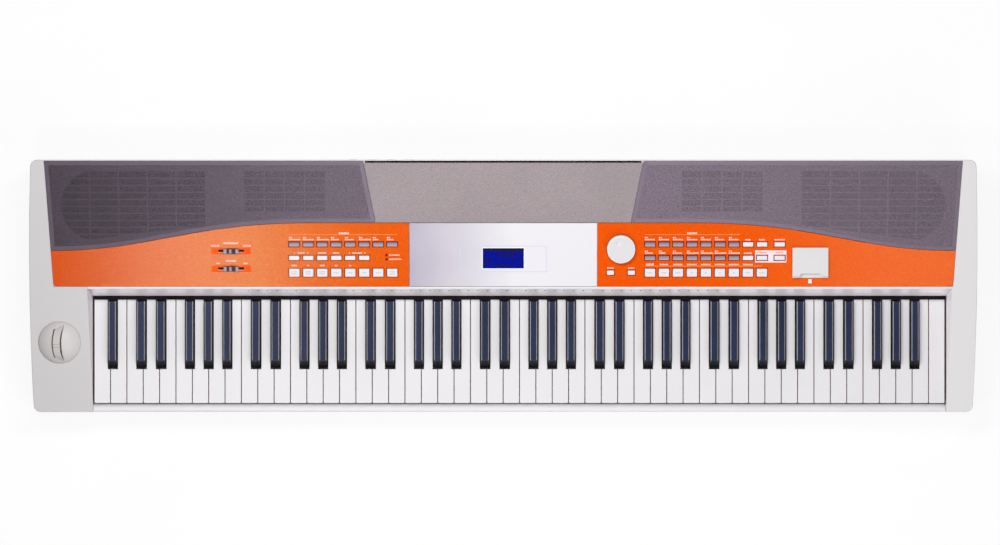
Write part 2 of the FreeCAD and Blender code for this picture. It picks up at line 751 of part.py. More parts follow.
# card cover, hinged under its rear edge on two ears of the panel, over an upright card socket
card_sizes = {
    "card_set": 43.75,
    "card_half": 25.5,
    "card_front_set": 14.2,
    "card_depth": 43,
    "card_rise": 8,
    "barrel_radius": 1.2,
    "barrel_rise": 0.7,
    "pin_radius": 0.6,
    "pin_length": 2,
    "ear_width": 3.5,
    "cover_wall": 1.6,
    "roof": 1.2,
    "scoop_narrow": 12.8,
    "scoop_wide": 17.2,
    "scoop_depth": 6.2,
    "lip_thickness": 1.4,
    "lip_reach": 0.9,
    "pit_margin": 5,
    "socket_width": 30,
    "socket_depth": 7,
    "socket_drop": 24,
    "card_slot_width": 24.6,
    "card_slot": 2.8,
    "socket_flange": 5,
    "socket_flange_thickness": 1.5,
}
add_sizes(card_sizes)
derive({
    "card_x": "got.far_button + dim.card_set",
    "card_front": "got.recess_front + dim.card_front_set",
    "card_rear": "got.card_front + dim.card_depth",
    "barrel_y": "got.card_rear - dim.barrel_radius",
    "barrel_z": "dim.barrel_rise + dim.barrel_radius",
    "cover_low": "dim.fit_gap",
    "roof_low": "got.barrel_z + dim.barrel_radius + dim.fit_gap",
    "roof_high": "got.roof_low + dim.roof",
    "ear_inner": "dim.card_half - dim.ear_width",
    "cover_rear": "got.barrel_y - dim.barrel_radius - dim.fit_gap",
    "cover_slope": "(dim.card_rise - got.roof_high) / dim.card_depth",
})


front = size("card_front")
rear = size("cover_rear")
low = size("cover_low")
high = size("card_rise")
rear_high = high - size("cover_slope") * (rear - front)


def side_face(name, points, x):
    corners = [Vector(x, y, z) for y, z in points]
    piece = doc.addObject("Part::Feature", name)
    piece.Shape = Part.Face(Part.makePolygon(corners + corners[:1]))
    return piece


def side_extrude(name, points, half):
    piece = doc.addObject("Part::Extrusion", name)
    piece.Base = side_face(name + "_side", points, -size(half))
    piece.DirMode = "Custom"
    piece.Dir = Vector(1, 0, 0)
    piece.Solid = True
    bind(piece, LengthFwd=f"2 * {'dim' if half in aliases else 'got'}.{half}")
    return piece


cover_block = side_extrude("cover_block", [(front, low), (rear, low), (rear, rear_high), (front, high)],
                           "card_half")
wall = size("cover_wall")
slope = size("cover_slope")
hollow_rear = rear - wall
derive({"hollow_half": "dim.card_half - dim.cover_wall"})
cover_hollow = side_extrude(
    "cover_hollow",
    [(front + wall, low - size("overrun")), (hollow_rear, low - size("overrun")),
     (hollow_rear, rear_high - wall), (front + wall, high - wall - slope * wall)], "hollow_half")
derive({"tongue_half": "got.ear_inner - dim.fit_gap"})
roof = side_extrude("cover_roof", [
    (rear - wall, size("roof_low")), (size("card_rear"), size("roof_low")),
    (size("card_rear"), size("roof_high")), (rear - wall, rear_high + slope * wall)], "card_half")
tongue = mid_box("cover_tongue", "2 * got.tongue_half", "2 * dim.barrel_radius",
                 "got.roof_low + dim.roof / 2 - got.barrel_z", "0", "got.barrel_y", "got.barrel_z")
barrel_rod = rod("cover_barrel", "dim.barrel_radius", "2 * got.tongue_half", "-got.tongue_half",
                 "got.barrel_y", "got.barrel_z", "x")
pin_rod = rod("cover_pin", "dim.pin_radius", "2 * (got.tongue_half + dim.pin_length)",
              "-got.tongue_half - dim.pin_length", "got.barrel_y", "got.barrel_z", "x")
scoop_rear = front + size("scoop_depth")
scoop_front = front - size("overrun")
grow = (size("scoop_wide") - size("scoop_narrow")) / size("scoop_depth") * size("overrun")
scoop_face = flat("scoop_face", polygon([
    (-size("scoop_wide") - grow, scoop_front), (size("scoop_wide") + grow, scoop_front),
    (size("scoop_narrow"), scoop_rear), (-size("scoop_narrow"), scoop_rear)]))
scoop = extrude("cover_scoop", scoop_face, "dim.card_rise + dim.overrun", "got.cover_low + dim.lip_thickness")
lip_front = front - size("lip_reach")
lip_face = flat("lip_face", polygon([
    (-size("scoop_wide"), lip_front), (size("scoop_wide"), lip_front),
    (size("scoop_wide"), scoop_rear + wall), (-size("scoop_wide"), scoop_rear + wall)]))
lip = extrude("cover_lip", lip_face, "dim.lip_thickness", "got.cover_low")
scoop_back = mid_box("cover_scoop_back", "2 * dim.scoop_narrow", "dim.cover_wall",
                     "dim.card_rise - got.cover_low - dim.cover_wall", "0",
                     "got.card_front + dim.scoop_depth + dim.cover_wall / 2", "got.cover_low")
cover_shell = cut("cover_shell", cut("cover_open", cover_block, cover_hollow), scoop)
cover = fuse("cover", [cover_shell, roof, tongue, barrel_rod, pin_rod, lip, scoop_back])
place(cover, "got.card_x")
node("card_cover", tilt(group("cover_on_top", [cover])))

ears = []
for count, way in enumerate(("-1", "1")):
    x = f"got.card_x + {way} * (dim.card_half - dim.ear_width / 2)"
    ears.append(mid_box(f"ear_post_{count}", "dim.ear_width", "2 * dim.barrel_radius",
                        "got.barrel_z + dim.plate / 2", x, "got.barrel_y", "-dim.plate / 2"))
    ears.append(rod(f"ear_{count}", "dim.barrel_radius", "dim.ear_width", f"{x} - dim.ear_width / 2",
                    "got.barrel_y", "got.barrel_z", "x"))
ear_bore = rod("ear_bore", "dim.pin_radius + dim.run_clearance",
               "2 * (got.tongue_half + dim.pin_length + dim.fit_gap)",
               "got.card_x - got.tongue_half - dim.pin_length - dim.fit_gap", "got.barrel_y",
               "got.barrel_z", "x")
pit_y = "(got.card_front + dim.card_depth / 2)"
holes["right"].append(mid_box("card_pit", "2 * (dim.card_half - dim.pit_margin)",
                              "dim.card_depth - 4 * dim.pit_margin", "dim.plate + 2 * dim.overrun",
                              "got.card_x", pit_y, "-dim.plate - dim.overrun"))
socket_top = "got.pot_top"
socket_body = mid_box("socket_body", "dim.socket_width", "dim.socket_depth", "dim.socket_drop", "got.card_x",
                      pit_y, f"{socket_top} - dim.socket_drop")
socket_plate = mid_box("socket_plate", "dim.socket_width + 2 * dim.socket_flange",
                       "dim.socket_depth + 2 * dim.socket_flange", "dim.socket_flange_thickness",
                       "got.card_x", pit_y, f"{socket_top} - dim.socket_flange_thickness")
socket_slot = mid_box("socket_slot", "dim.card_slot_width", "dim.card_slot",
                      "dim.socket_drop - dim.cover_wall + dim.overrun", "got.card_x", pit_y,
                      f"{socket_top} - dim.socket_drop + dim.cover_wall")
node("card_socket", tilt(cut("socket", fuse("socket_solid", [socket_body, socket_plate]), socket_slot)))
bed_holes.append(mid_box("socket_bed_hole", "dim.card_slot_width", "dim.card_slot",
                         "dim.bed + 2 * dim.overrun", "got.card_x", pit_y, "got.bed_low - dim.overrun"))
card_lamp_y = "got.recess_front + dim.card_lamp_set"
node("card_lamp", tilt(group("white_lamp", [mid_box(
    "white_lamp_box", "dim.card_lamp_width", "dim.card_lamp_depth", "dim.plate + dim.lamp_rise / 2",
    "got.card_x", card_lamp_y, "-dim.plate")])))
holes["right"].append(mid_box("card_lamp_hole", "dim.card_lamp_width + 2 * dim.seat_gap",
                              "dim.card_lamp_depth + 2 * dim.seat_gap", "dim.plate + 2 * dim.overrun",
                              "got.card_x", card_lamp_y, "-dim.plate - dim.overrun"))

# top plates: the orange panels meet the grilles along one S-shaped line
curve_shares = {
    "curve_start_set": 52.2,
    "curve_low_pull_share": 0.67,
    "curve_high_pull_share": 0.543,
    "curve_end_share": 0.167,
}
add_sizes(curve_shares)


def across(share):
    return size("deck_rear_half") + size(share) * (size("recess_rear_half") - size("deck_rear_half"))


def curve(gap):
    low = size("recess_front") + size("curve_start_set") + gap
    high = size("upper_front") + gap
    start = recess_half(low) - size("fit_gap")
    bezier = Part.BezierCurve()
    bezier.setPoles([Vector(-start, low, 0), Vector(-across("curve_low_pull_share"), low, 0),
                     Vector(-across("curve_high_pull_share"), high, 0),
                     Vector(-across("curve_end_share"), high, 0)])
    return bezier.toShape(), (-start, low), (-across("curve_end_share"), high)


def panel_face(name):
    gap = size("fit_gap")
    front = size("recess_front") + gap
    radius = size("panel_corner")
    bend = radius * (1 - math.sqrt(1 / 2))
    s_line, start, end = curve(-gap)
    inner = -size("display_half") - gap
    outer = gap - recess_half(front)
    high_outer = gap - recess_half(front + radius)
    edges = [s_line, line(end, (inner, end[1])), line((inner, end[1]), (inner, front)),
             line((inner, front), (outer + radius, front)),
             arc((outer + radius, front), (outer + bend, front + bend), (high_outer, front + radius)),
             line((high_outer, front + radius), start)]
    return flat(name, edges)


def deck_half(run):
    share = (run - size("upper_front")) / (size("recess_rear") - size("upper_front"))
    return size("deck_front_half") + share * (size("deck_rear_half") - size("deck_front_half"))


def grille_face(name, inset):
    gap = size("fit_gap")
    s_line, start, end = curve(gap + inset)
    rear = size("recess_rear") - gap - inset
    inner_low = -deck_half(end[1]) - gap - inset
    inner_rear = -deck_half(rear) - gap - inset
    outer_low = start[0] + inset
    outer_rear = gap + inset - recess_half(rear)
    if inset:
        poles = s_line.Curve.getPoles()
        poles[0] = Vector(outer_low, poles[0].y, 0)
        bezier = Part.BezierCurve()
        bezier.setPoles(poles)
        s_line = bezier.toShape()
    return flat(name, [s_line, line(end, (inner_low, end[1])), line((inner_low, end[1]), (inner_rear, rear)),
                       line((inner_rear, rear), (outer_rear, rear)),
                       line((outer_rear, rear), (outer_low, start[1]))])


panel_low = "dim.seat_gap - dim.plate"
panel_thick = "dim.plate - dim.seat_gap"
left_plate = extrude("left_plate", panel_face("panel_outline"), panel_thick, panel_low)
right_plate = mirror("right_plate", left_plate)
node("left_control_panel", tilt(cut("left_panel", left_plate, group("left_holes", holes["left"]))))
right_panel = cut("right_panel_plate", right_plate, group("right_holes", holes["right"]))
right_panel_ears = fuse("right_panel_ears", [right_panel] + ears)
node("right_control_panel", tilt(cut("right_panel", right_panel_ears, ear_bore)))

display_box = box("display_box", "2 * (dim.display_half - dim.fit_gap)",
                  "dim.control_depth - 2 * dim.fit_gap", panel_thick, "dim.fit_gap - dim.display_half",
                  "got.recess_front + dim.fit_gap", panel_low)
node("display_panel", tilt(cut("display_plate", display_box, window)))

deck_front = size("upper_front") + size("fit_gap")
deck_rear = size("recess_rear") - size("rest_slot")
deck_gap = size("fit_gap")
deck_face = flat("deck_face", polygon([
    (deck_gap - deck_half(deck_front), deck_front), (deck_half(deck_front) - deck_gap, deck_front),
    (deck_half(deck_rear) - deck_gap, deck_rear), (deck_gap - deck_half(deck_rear), deck_rear)]))
node("rear_deck", tilt(group("deck", [extrude("deck_plate", deck_face, panel_thick, panel_low)])))

# the music rest stands in a slot cut through the bed behind the deck
rest_hole = box("rest_hole", "2 * (dim.deck_rear_half - dim.bed_ledge)", "dim.rest_slot",
                "dim.bed + 2 * dim.overrun", "dim.bed_ledge - dim.deck_rear_half",
                "got.recess_rear - dim.rest_slot", "got.bed_low - dim.overrun")
bed_holes.append(rest_hole)

# grilles: a frame with a lattice under a mesh that lies in its rim
grille_sizes = {
    "grille_rim": 6,
    "mesh": 0.8,
    "lattice_rib": 1.8,
    "lattice_pitch": 10.1,
    "grid_top_set": 15.2,
    "grid_inner_share": 0.496,
    "grid_bend_share": 0.864,
    "grid_outer_share": 0.947,
    "grid_inner_drop": 3.1,
    "grid_bend_rise": 15.5,
    "small_inner_share": 0.12,
    "small_outer_share": 0.373,
    "small_low_set": 16.6,
}
add_sizes(grille_sizes)
grid_top = size("recess_rear") - size("grid_top_set")
grid_inner_low = size("upper_front") - size("grid_inner_drop")
grid_bend_low = size("recess_front") + size("curve_start_set") + size("grid_bend_rise")
grid_inner = across("grid_inner_share")
grid_bend = across("grid_bend_share")
grid_outer = across("grid_outer_share")
small_inner = across("small_inner_share")
small_outer = across("small_outer_share")
small_low = size("upper_front") + size("small_low_set")
grid_face = flat("grid_face", [
    line((-grid_inner, grid_top), (-grid_inner, grid_inner_low)),
    line((-grid_inner, grid_inner_low), (-grid_bend, grid_bend_low)),
    arc((-grid_bend, grid_bend_low), (-grid_outer, (grid_top + grid_bend_low) / 2), (-grid_bend, grid_top)),
    line((-grid_bend, grid_top), (-grid_inner, grid_top))])
small_face = flat("small_face", polygon([
    (-small_outer, small_low), (-small_inner, small_low),
    (-small_inner, grid_top), (-small_outer, grid_top)]))
deep_cut = "dim.plate + 2 * dim.overrun"
deep_low = "-dim.plate - dim.overrun"
openings = [extrude("grid_opening", grid_face, deep_cut, deep_low),
            extrude("small_opening", small_face, deep_cut, deep_low)]
derive({
    "grille_span": "got.recess_rear_half - dim.deck_rear_half",
    "grid_inner": "dim.deck_rear_half + dim.grid_inner_share * got.grille_span",
    "grid_wide": "(dim.grid_outer_share - dim.grid_inner_share) * got.grille_span",
    "small_inner": "dim.deck_rear_half + dim.small_inner_share * got.grille_span",
    "small_wide": "(dim.small_outer_share - dim.small_inner_share) * got.grille_span",
    "grid_top": "got.recess_rear - dim.grid_top_set",
})
ribs = []
for title, inner, wide, cells, rows in (("grid", "got.grid_inner", "got.grid_wide", 5, 9),
                                        ("small", "got.small_inner", "got.small_wide", 4, 5)):
    for count in range(1, cells):
        ribs.append(mid_box(f"{title}_upright_{count}", "dim.lattice_rib", "2 * dim.grille_depth", deep_cut,
                            f"-{inner} - {count} * {wide} / {cells}", "got.upper_front", deep_low))
    for count in range(1, rows + 1):
        ribs.append(box(f"{title}_bar_{count}", f"{wide} + 2 * dim.overrun", "dim.lattice_rib", deep_cut,
                        f"-{inner} - {wide} - dim.overrun",
                        f"got.grid_top - {count} * dim.lattice_pitch - dim.lattice_rib / 2", deep_low))
cells = cut("lattice_cells", group("grille_openings", openings), group("lattice_ribs", ribs))
grille_plate = extrude("grille_plate", grille_face("grille_outline", 0), panel_thick, panel_low)
mesh_face = grille_face("mesh_outline", size("grille_rim"))
mesh_bed = extrude("mesh_bed", mesh_face, "dim.mesh + dim.overrun", "-dim.mesh")
left_frame = cut("left_frame", cut("left_frame_cells", grille_plate, cells), mesh_bed)
right_frame = mirror("right_frame", left_frame)
node("left_grille", tilt(group("left_grille_frame", [left_frame])))
node("right_grille", tilt(group("right_grille_frame", [right_frame])))
loose_mesh = grille_face("loose_mesh_outline", size("grille_rim") + size("seat_gap"))
left_mesh = extrude("left_mesh", loose_mesh, "dim.mesh - dim.seat_gap", "dim.seat_gap - dim.mesh")
node("grille_mesh", tilt(group("mesh_pair", [left_mesh, mirror("right_mesh", left_mesh)])))

# speakers hang under round holes in the bed
speaker_sizes = {
    "woofer_radius": 46,
    "woofer_flange": 2.5,
    "woofer_rim": 7,
    "cone_wall": 1.5,
    "cone_drop": 22,
    "coil_radius": 14,
    "magnet_radius": 30,
    "magnet_height": 16,
    "tweeter_radius": 24,
    "tweeter_rim": 5,
    "tweeter_drop": 9,
    "tweeter_coil_radius": 9,
    "tweeter_magnet_radius": 16,
    "tweeter_magnet_height": 10,
}
add_sizes(speaker_sizes)


def speaker(name, radius, rim, drop, coil, magnet, tall):
    top = f"({tall} + {drop} + dim.woofer_flange)"
    return turned(name, [
        ("0", "0"), (magnet, "0"), (magnet, tall), (coil, tall),
        (f"{radius} - {rim}", f"{top} - dim.woofer_flange"), (radius, f"{top} - dim.woofer_flange"),
        (radius, top), (f"{radius} - {rim}", top), (coil, f"{tall} + dim.cone_wall * 2"),
        ("0", f"{tall} + dim.cone_wall * 2")]), top


speakers = []
grid_middle = (grid_inner + grid_outer) / 2
small_middle = (small_inner + small_outer) / 2
derive({
    "woofer_x": "-got.grid_inner - got.grid_wide / 2",
    "woofer_y": "got.grid_top - dim.woofer_radius - dim.woofer_flange",
    "tweeter_x": "-got.small_inner - got.small_wide / 2",
    "tweeter_y": "(got.grid_top + got.upper_front + dim.small_low_set) / 2",
})
for name, sizes in (
        ("woofer", ("dim.woofer_radius", "dim.woofer_rim", "dim.cone_drop", "dim.coil_radius",
                    "dim.magnet_radius", "dim.magnet_height")),
        ("tweeter", ("dim.tweeter_radius", "dim.tweeter_rim", "dim.tweeter_drop", "dim.tweeter_coil_radius",
                     "dim.tweeter_magnet_radius", "dim.tweeter_magnet_height"))):
    body, top = speaker(name + "_body", *sizes)
    x, y = f"got.{name}_x", f"got.{name}_y"
    placed = group(name + "_placed", [body])
    place(placed, x, y, f"got.pot_top - {top}")
    speakers += [placed, mirror(name + "_right", placed)]
    for side in (1, -1):
        bed_holes.append(rod(f"{name}_bed_hole_{side + 1}", f"dim.{name}_radius - dim.{name}_rim",
                             "dim.bed + 2 * dim.overrun", f"{side} * {x}", y, "got.bed_low - dim.overrun"))
node("speakers", tilt(group("speaker_set", speakers)))

# pitch bend: a dome on the left cheek with a leaning wheel that runs in its hangers
bend_sizes = {
    "dome_set": 42.3,
    "dome_front_set": 101.5,
    "dome_radius": 30.5,
    "dome_height": 16,
    "dome_wall": 2.4,
    "dome_spigot": 26.5,
    "dome_spigot_drop": 2.5,
    "wheel_lean_angle": 18,
    "wheel_offset": 8.2,
    "wheel_lift": 12,
    "wheel_radius": 27,
    "wheel_width": 11.6,
    "wheel_gap": 0.8,
    "wheel_notch": 3.4,
    "wheel_notch_depth": 1.2,
    "axle_radius": 2.5,
    "hanger": 3,
    "hanger_half": 8,
    "hanger_drop": 6,
}
add_sizes(bend_sizes)
derive({
    "dome_x": "dim.dome_set - got.case_half",
    "ball_radius": "(dim.dome_radius * dim.dome_radius / dim.dome_height + dim.dome_height) / 2",
    "ball_z": "dim.dome_height - got.ball_radius",
    "slot_half": "dim.wheel_width / 2 + dim.wheel_gap",
    "lean_cos": "cos(dim.wheel_lean_angle * 1deg)",
    "lean_sin": "sin(dim.wheel_lean_angle * 1deg)",
    "wheel_x": "dim.wheel_offset * got.lean_cos - dim.wheel_lift * got.lean_sin",
    "wheel_z": "got.ball_z + dim.wheel_offset * got.lean_sin + dim.wheel_lift * got.lean_cos",
    "axle_half": "got.slot_half + dim.hanger - dim.fit_gap",
})


def lean(piece):
    # into the wheel's frame: its x along the axle, which leans to the left
    piece.Placement = Placement(Vector(), Rotation(Vector(0, 1, 0), -1))
    piece.setExpression("Placement.Rotation.Angle", "dim.wheel_lean_angle")
    piece.Placement.Rotation = Rotation(Vector(0, -1, 0), 1)
    return place(piece, "got.wheel_x", z="got.wheel_z")


def ball(name, radius):
    piece = doc.addObject("Part::Sphere", name)
    bind(piece, Radius=radius)
    return place(piece, z="got.ball_z")


below = mid_box("dome_below", "4 * got.ball_radius", "4 * got.ball_radius", "4 * got.ball_radius", "0", "0",
                "-4 * got.ball_radius")
dome_skin = cut("dome_skin", cut("dome_cap", ball("dome_ball", "got.ball_radius"), below),
                ball("dome_hollow", "got.ball_radius - dim.dome_wall"))
spigot = cut("dome_spigot_ring",
             rod("spigot_outer", "dim.dome_spigot", "2 * dim.dome_spigot_drop", "0", "0",
                 "-dim.dome_spigot_drop"),
             rod("spigot_inner", "dim.dome_spigot - dim.dome_wall", "4 * dim.dome_spigot_drop", "0", "0",
                 "-2 * dim.dome_spigot_drop"))
hangers = []
for count, way in enumerate(("-1", "1")):
    hangers.append(mid_box(f"hanger_{count}", "dim.hanger", "2 * dim.hanger_half", "2 * got.ball_radius",
                           f"{way} * (got.slot_half + dim.hanger / 2)", "0", "-dim.hanger_drop"))
hanger_pair = common("hanger_pair", lean(group("hangers", hangers)),
                     ball("hanger_limit", "got.ball_radius - dim.dome_wall / 2"))
wheel_room = lean(group("wheel_room", [rod("wheel_room_rod", "dim.wheel_radius + dim.wheel_gap",
                                           "2 * got.slot_half", "-got.slot_half", "0", "0", "x")]))
axle_bore = lean(group("axle_bore", [rod("axle_bore_rod", "dim.axle_radius + dim.run_clearance",
                                         "2 * (got.axle_half + dim.overrun)",
                                         "-got.axle_half - dim.overrun", "0", "0", "x")]))
dome_solid = fuse("dome_solid", [dome_skin, spigot, hanger_pair])
dome = cut("dome", dome_solid, group("dome_cuts", [wheel_room, axle_bore]))
place(dome, "got.dome_x", "dim.dome_front_set", "dim.seat_gap")
node("pitch_bend_dome", tilt(group("dome_on_top", [dome])))
wheel_disc = rod("wheel_disc", "dim.wheel_radius", "dim.wheel_width", "-dim.wheel_width / 2", "0", "0", "x")
axle = rod("wheel_axle", "dim.axle_radius", "2 * got.axle_half", "-got.axle_half", "0", "0", "x")
notch = mid_box("wheel_notch", "dim.wheel_width + 2 * dim.overrun", "dim.wheel_notch",
                "dim.wheel_notch_depth + dim.overrun", "0", "0", "dim.wheel_radius - dim.wheel_notch_depth")
wheel = lean(group("wheel", [cut("wheel_solid", fuse("wheel_and_axle", [wheel_disc, axle]), notch)]))
wheel_up = group("wheel_up", [wheel])
place(wheel_up, "got.dome_x", "dim.dome_front_set", "dim.seat_gap")
node("pitch_bend_wheel", tilt(group("wheel_on_top", [wheel_up])))
wheel_room_up = group("wheel_room_up", [wheel_room])
place(wheel_room_up, "got.dome_x", "dim.dome_front_set", "dim.seat_gap")
spigot_hole = rod("spigot_hole", "dim.dome_spigot + dim.seat_gap", "2 * dim.case_wall + 2 * dim.overrun",
                  "got.dome_x", "dim.dome_front_set", "-dim.case_wall - dim.overrun")
cheek_hole = tilt(group("cheek_hole", [spigot_hole, wheel_room_up]))

# rear jack plate, set into the rear wall
jack_sizes = {
    "jack_pitch": 27,
    "jack_plate_set": 40,
    "jack_height": 68,
    "jack_plate_tall": 36,
    "jack_radius": 3.25,
    "jack_sleeve": 5,
    "jack_body": 15,
    "jack_depth": 24,
    "inlet_radius": 2.9,
    "inlet_pin_radius": 1,
    "port_wide": 8.6,
    "port_tall": 7.8,
    "power_wide": 13,
    "power_tall": 9,
    "power_rise": 0.3,
    "power_travel": 3,
    "main_board_deep": 95,
}
add_sizes(jack_sizes)
jack_names = ["phones", "line_left", "line_right", "pedal", "port", "inlet", "power"]
derive({
    "jack_first": "-dim.jack_plate_set - 6.5 * dim.jack_pitch",
    "jack_plate_wide": "8 * dim.jack_pitch",
    "jack_plate_left": "got.jack_first - 0.75 * dim.jack_pitch",
    "rear_face": "-got.front_y",
    "plate_rear": "got.rear_face - dim.seat_gap",
    "jack_front": "got.rear_face - dim.case_wall - dim.seat_gap",
    "jack_low": "dim.jack_height - dim.jack_body / 2",
})
jack_plate_low = "dim.jack_height - dim.jack_plate_tall / 2"
rear_opening = box("rear_opening", "got.jack_plate_wide", "2 * (dim.case_wall + dim.overrun)",
                   "dim.jack_plate_tall", "got.jack_plate_left", "got.rear_face - dim.case_wall - dim.overrun",
                   jack_plate_low)
jack_plate = box("jack_plate_box", "got.jack_plate_wide - 2 * dim.seat_gap", "dim.case_wall",
                 "dim.jack_plate_tall - 2 * dim.seat_gap", "got.jack_plate_left + dim.seat_gap",
                 "got.plate_rear - dim.case_wall", f"{jack_plate_low} + dim.seat_gap")
plate_holes = []
jacks = []
ports = []
body_front = "got.jack_front - dim.jack_depth"
for count, name in enumerate(jack_names):
    x = f"got.jack_first + {count} * dim.jack_pitch"
    hole_rear = "got.jack_front - dim.overrun"
    hole_long = "dim.case_wall + 3 * dim.overrun"
    body = mid_box(name + "_body", "dim.jack_body", "dim.jack_depth", "dim.jack_body", x,
                   f"{body_front} + dim.jack_depth / 2", "got.jack_low")
    if count < 4:
        sleeve = rod(name + "_sleeve", "dim.jack_sleeve", "dim.jack_depth / 2 + dim.case_wall", x,
                     "got.jack_front - dim.jack_depth / 2", "dim.jack_height", "y")
        bore = rod(name + "_bore", "dim.jack_radius", "dim.jack_depth + dim.case_wall + dim.overrun", x,
                   "got.jack_front - dim.jack_depth + dim.case_wall", "dim.jack_height", "y")
        plate_holes.append(rod(name + "_hole", "dim.jack_sleeve + dim.seat_gap", hole_long, x, hole_rear,
                               "dim.jack_height", "y"))
        jacks.append(cut(name + "_jack", fuse(name + "_solid", [body, sleeve]), bore))
    elif name == "port":
        hollow = mid_box("port_hollow", "dim.port_wide", "dim.jack_depth + dim.overrun", "dim.port_tall", x,
                         f"{body_front} + dim.case_wall + (dim.jack_depth + dim.overrun) / 2",
                         "dim.jack_height - dim.port_tall / 2")
        ports.append(cut("port_socket", body, hollow))
        plate_holes.append(mid_box("port_hole", "dim.port_wide", hole_long, "dim.port_tall", x,
                                   f"{hole_rear} + ({hole_long}) / 2", "dim.jack_height - dim.port_tall / 2"))
    elif name == "inlet":
        hollow = rod("inlet_hollow", "dim.inlet_radius", "dim.jack_depth + dim.overrun", x,
                     f"{body_front} + dim.case_wall", "dim.jack_height", "y")
        pin = rod("inlet_pin", "dim.inlet_pin_radius", "dim.jack_depth - dim.seat_gap", x, body_front,
                  "dim.jack_height", "y")
        ports.append(fuse("inlet_socket", [cut("inlet_shell", body, hollow), pin]))
        plate_holes.append(rod("inlet_hole", "dim.inlet_radius + dim.fit_gap", hole_long, x, hole_rear,
                               "dim.jack_height", "y"))
    else:
        power_z = "dim.jack_height - dim.power_tall / 2"
        lock_front = "got.jack_front - dim.fit_gap - dim.cap_flange"
        cap = mid_box("power_cap", "dim.power_wide", "dim.power_rise + dim.case_wall + dim.cap_flange",
                      "dim.power_tall", x,
                      f"{lock_front} + (dim.power_rise + dim.case_wall + dim.cap_flange) / 2", power_z)
        flange = mid_box("power_flange", "dim.power_wide + 2 * dim.flange_margin", "dim.cap_flange",
                         "dim.power_tall + 2 * dim.flange_margin", x, f"{lock_front} + dim.cap_flange / 2",
                         f"{power_z} - dim.flange_margin")
        node("power_button", fuse("power_cap_and_flange", [cap, flange]))
        switch_deep = "dim.jack_depth - dim.power_travel - 3 * dim.cap_flange"
        ports.append(mid_box("power_switch", "dim.jack_body", switch_deep, "dim.jack_body", x,
                             f"{body_front} + ({switch_deep}) / 2", "got.jack_low"))
        plate_holes.append(mid_box("power_hole", "dim.power_wide + 2 * dim.fit_gap", hole_long,
                                   "dim.power_tall + 2 * dim.fit_gap", x,
                                   f"{hole_rear} + ({hole_long}) / 2", f"{power_z} - dim.fit_gap"))
node("jack_plate", cut("jack_plate_cut", jack_plate, group("jack_plate_holes", plate_holes)))
node("audio_jacks", group("jack_row", jacks))
node("rear_ports", group("port_row", ports))

# boards in the base
board_sizes = {
    "boss_radius": 4,
    "boss_in": 8,
    "chip": 22,
    "chip_height": 3,
    "amp_board_wide": 130,
    "amp_board_deep": 80,
    "amp_board_set": 120,
    "amp_board_height": 22,
    "heat_sink": 28,
    "heat_sink_width": 14,
}
add_sizes(board_sizes)
derive({
    "main_board_top": "got.jack_low - dim.seat_gap",
    "main_board_front": "got.jack_front - dim.main_board_deep",
    "amp_front": "got.axis_y + dim.main_board_deep / 3",
})
main_box = box("main_board_box", "got.jack_plate_wide", "dim.main_board_deep - dim.fit_gap", "dim.board",
               "got.jack_plate_left", "got.main_board_front", "got.main_board_top - dim.board")
main_chip = mid_box("main_chip", "dim.chip", "dim.chip", "dim.chip_height + dim.board / 2",
                    "got.jack_plate_left + got.jack_plate_wide / 2",
                    "got.main_board_front + dim.chip + dim.boss_in", "got.main_board_top - dim.board / 2")
amp_box = box("amp_board_box", "dim.amp_board_wide", "dim.amp_board_deep", "dim.board", "dim.amp_board_set",
              "got.amp_front", "dim.amp_board_height")
sink = box("heat_sink_box", "dim.amp_board_wide - 4 * dim.boss_in", "dim.heat_sink_width",
           "dim.heat_sink + dim.board / 2", "dim.amp_board_set + 2 * dim.boss_in",
           "got.amp_front + dim.amp_board_deep / 2", "dim.amp_board_height + dim.board / 2")
node("circuit_boards", group("base_boards", [fuse("main_board", [main_box, main_chip]),
                                             fuse("amp_board", [amp_box, sink])]))

# keys
white_low = ("got.key_low", "dim.key_height")
rod_cut = rod("rod_cut", "dim.rod_radius + dim.rod_clearance", "got.keys_span + 2 * dim.overrun",
              "got.keys_left - dim.overrun", "got.axis_y", "got.axis_height", "x")


def tail_start(first, whites, step):
    return f"got.keys_left + ({first} + {step} * {whites} / {2 * whites - 1}) * dim.key_pitch"


def white_key(index):
    letter = letters[index % 7]
    first = index - "CDE".index(letter) if letter in "CDE" else index - "FGAB".index(letter)
    whites = 3 if letter in "CDE" else 4
    step = 2 * (index - first)
    name = f"white_{index}"
    left = f"(got.keys_left + {index} * dim.key_pitch + dim.key_gap / 2)"
    right = f"(got.keys_left + {index + 1} * dim.key_pitch - dim.key_gap / 2)"
    tail_left = f"({tail_start(first, whites, step)} + dim.key_gap / 2)"
    tail_right = f"({tail_start(first, whites, step + 1)} - dim.key_gap / 2)"
    if index == 0:
        tail_left = left
    if index == white_count - 1:
        tail_right = right
    head = box(name + "_head", f"{right} - {left}", "got.head_length", "dim.key_height", left,
               "got.key_front", "got.key_low")
    tail = box(name + "_tail", f"{tail_right} - {tail_left}", "got.key_end - got.key_front",
               "dim.key_height", tail_left, "got.key_front", "got.key_low")
    return cut(name, fuse(name + "_solid", [head, tail]), rod_cut)


def corner_cut(name, x, y, angle):
    # takes off an upright front corner of a black key
    piece = doc.addObject("Part::Box", name)
    piece.Placement = Placement(Vector(), Rotation(Vector(0, 0, 1), angle))
    bind(piece, Length="2 * dim.black_corner", Width="dim.black_corner",
         Height="dim.key_height + dim.black_rise + 2 * dim.overrun")
    return place(piece, x, y, "got.key_low - dim.overrun")


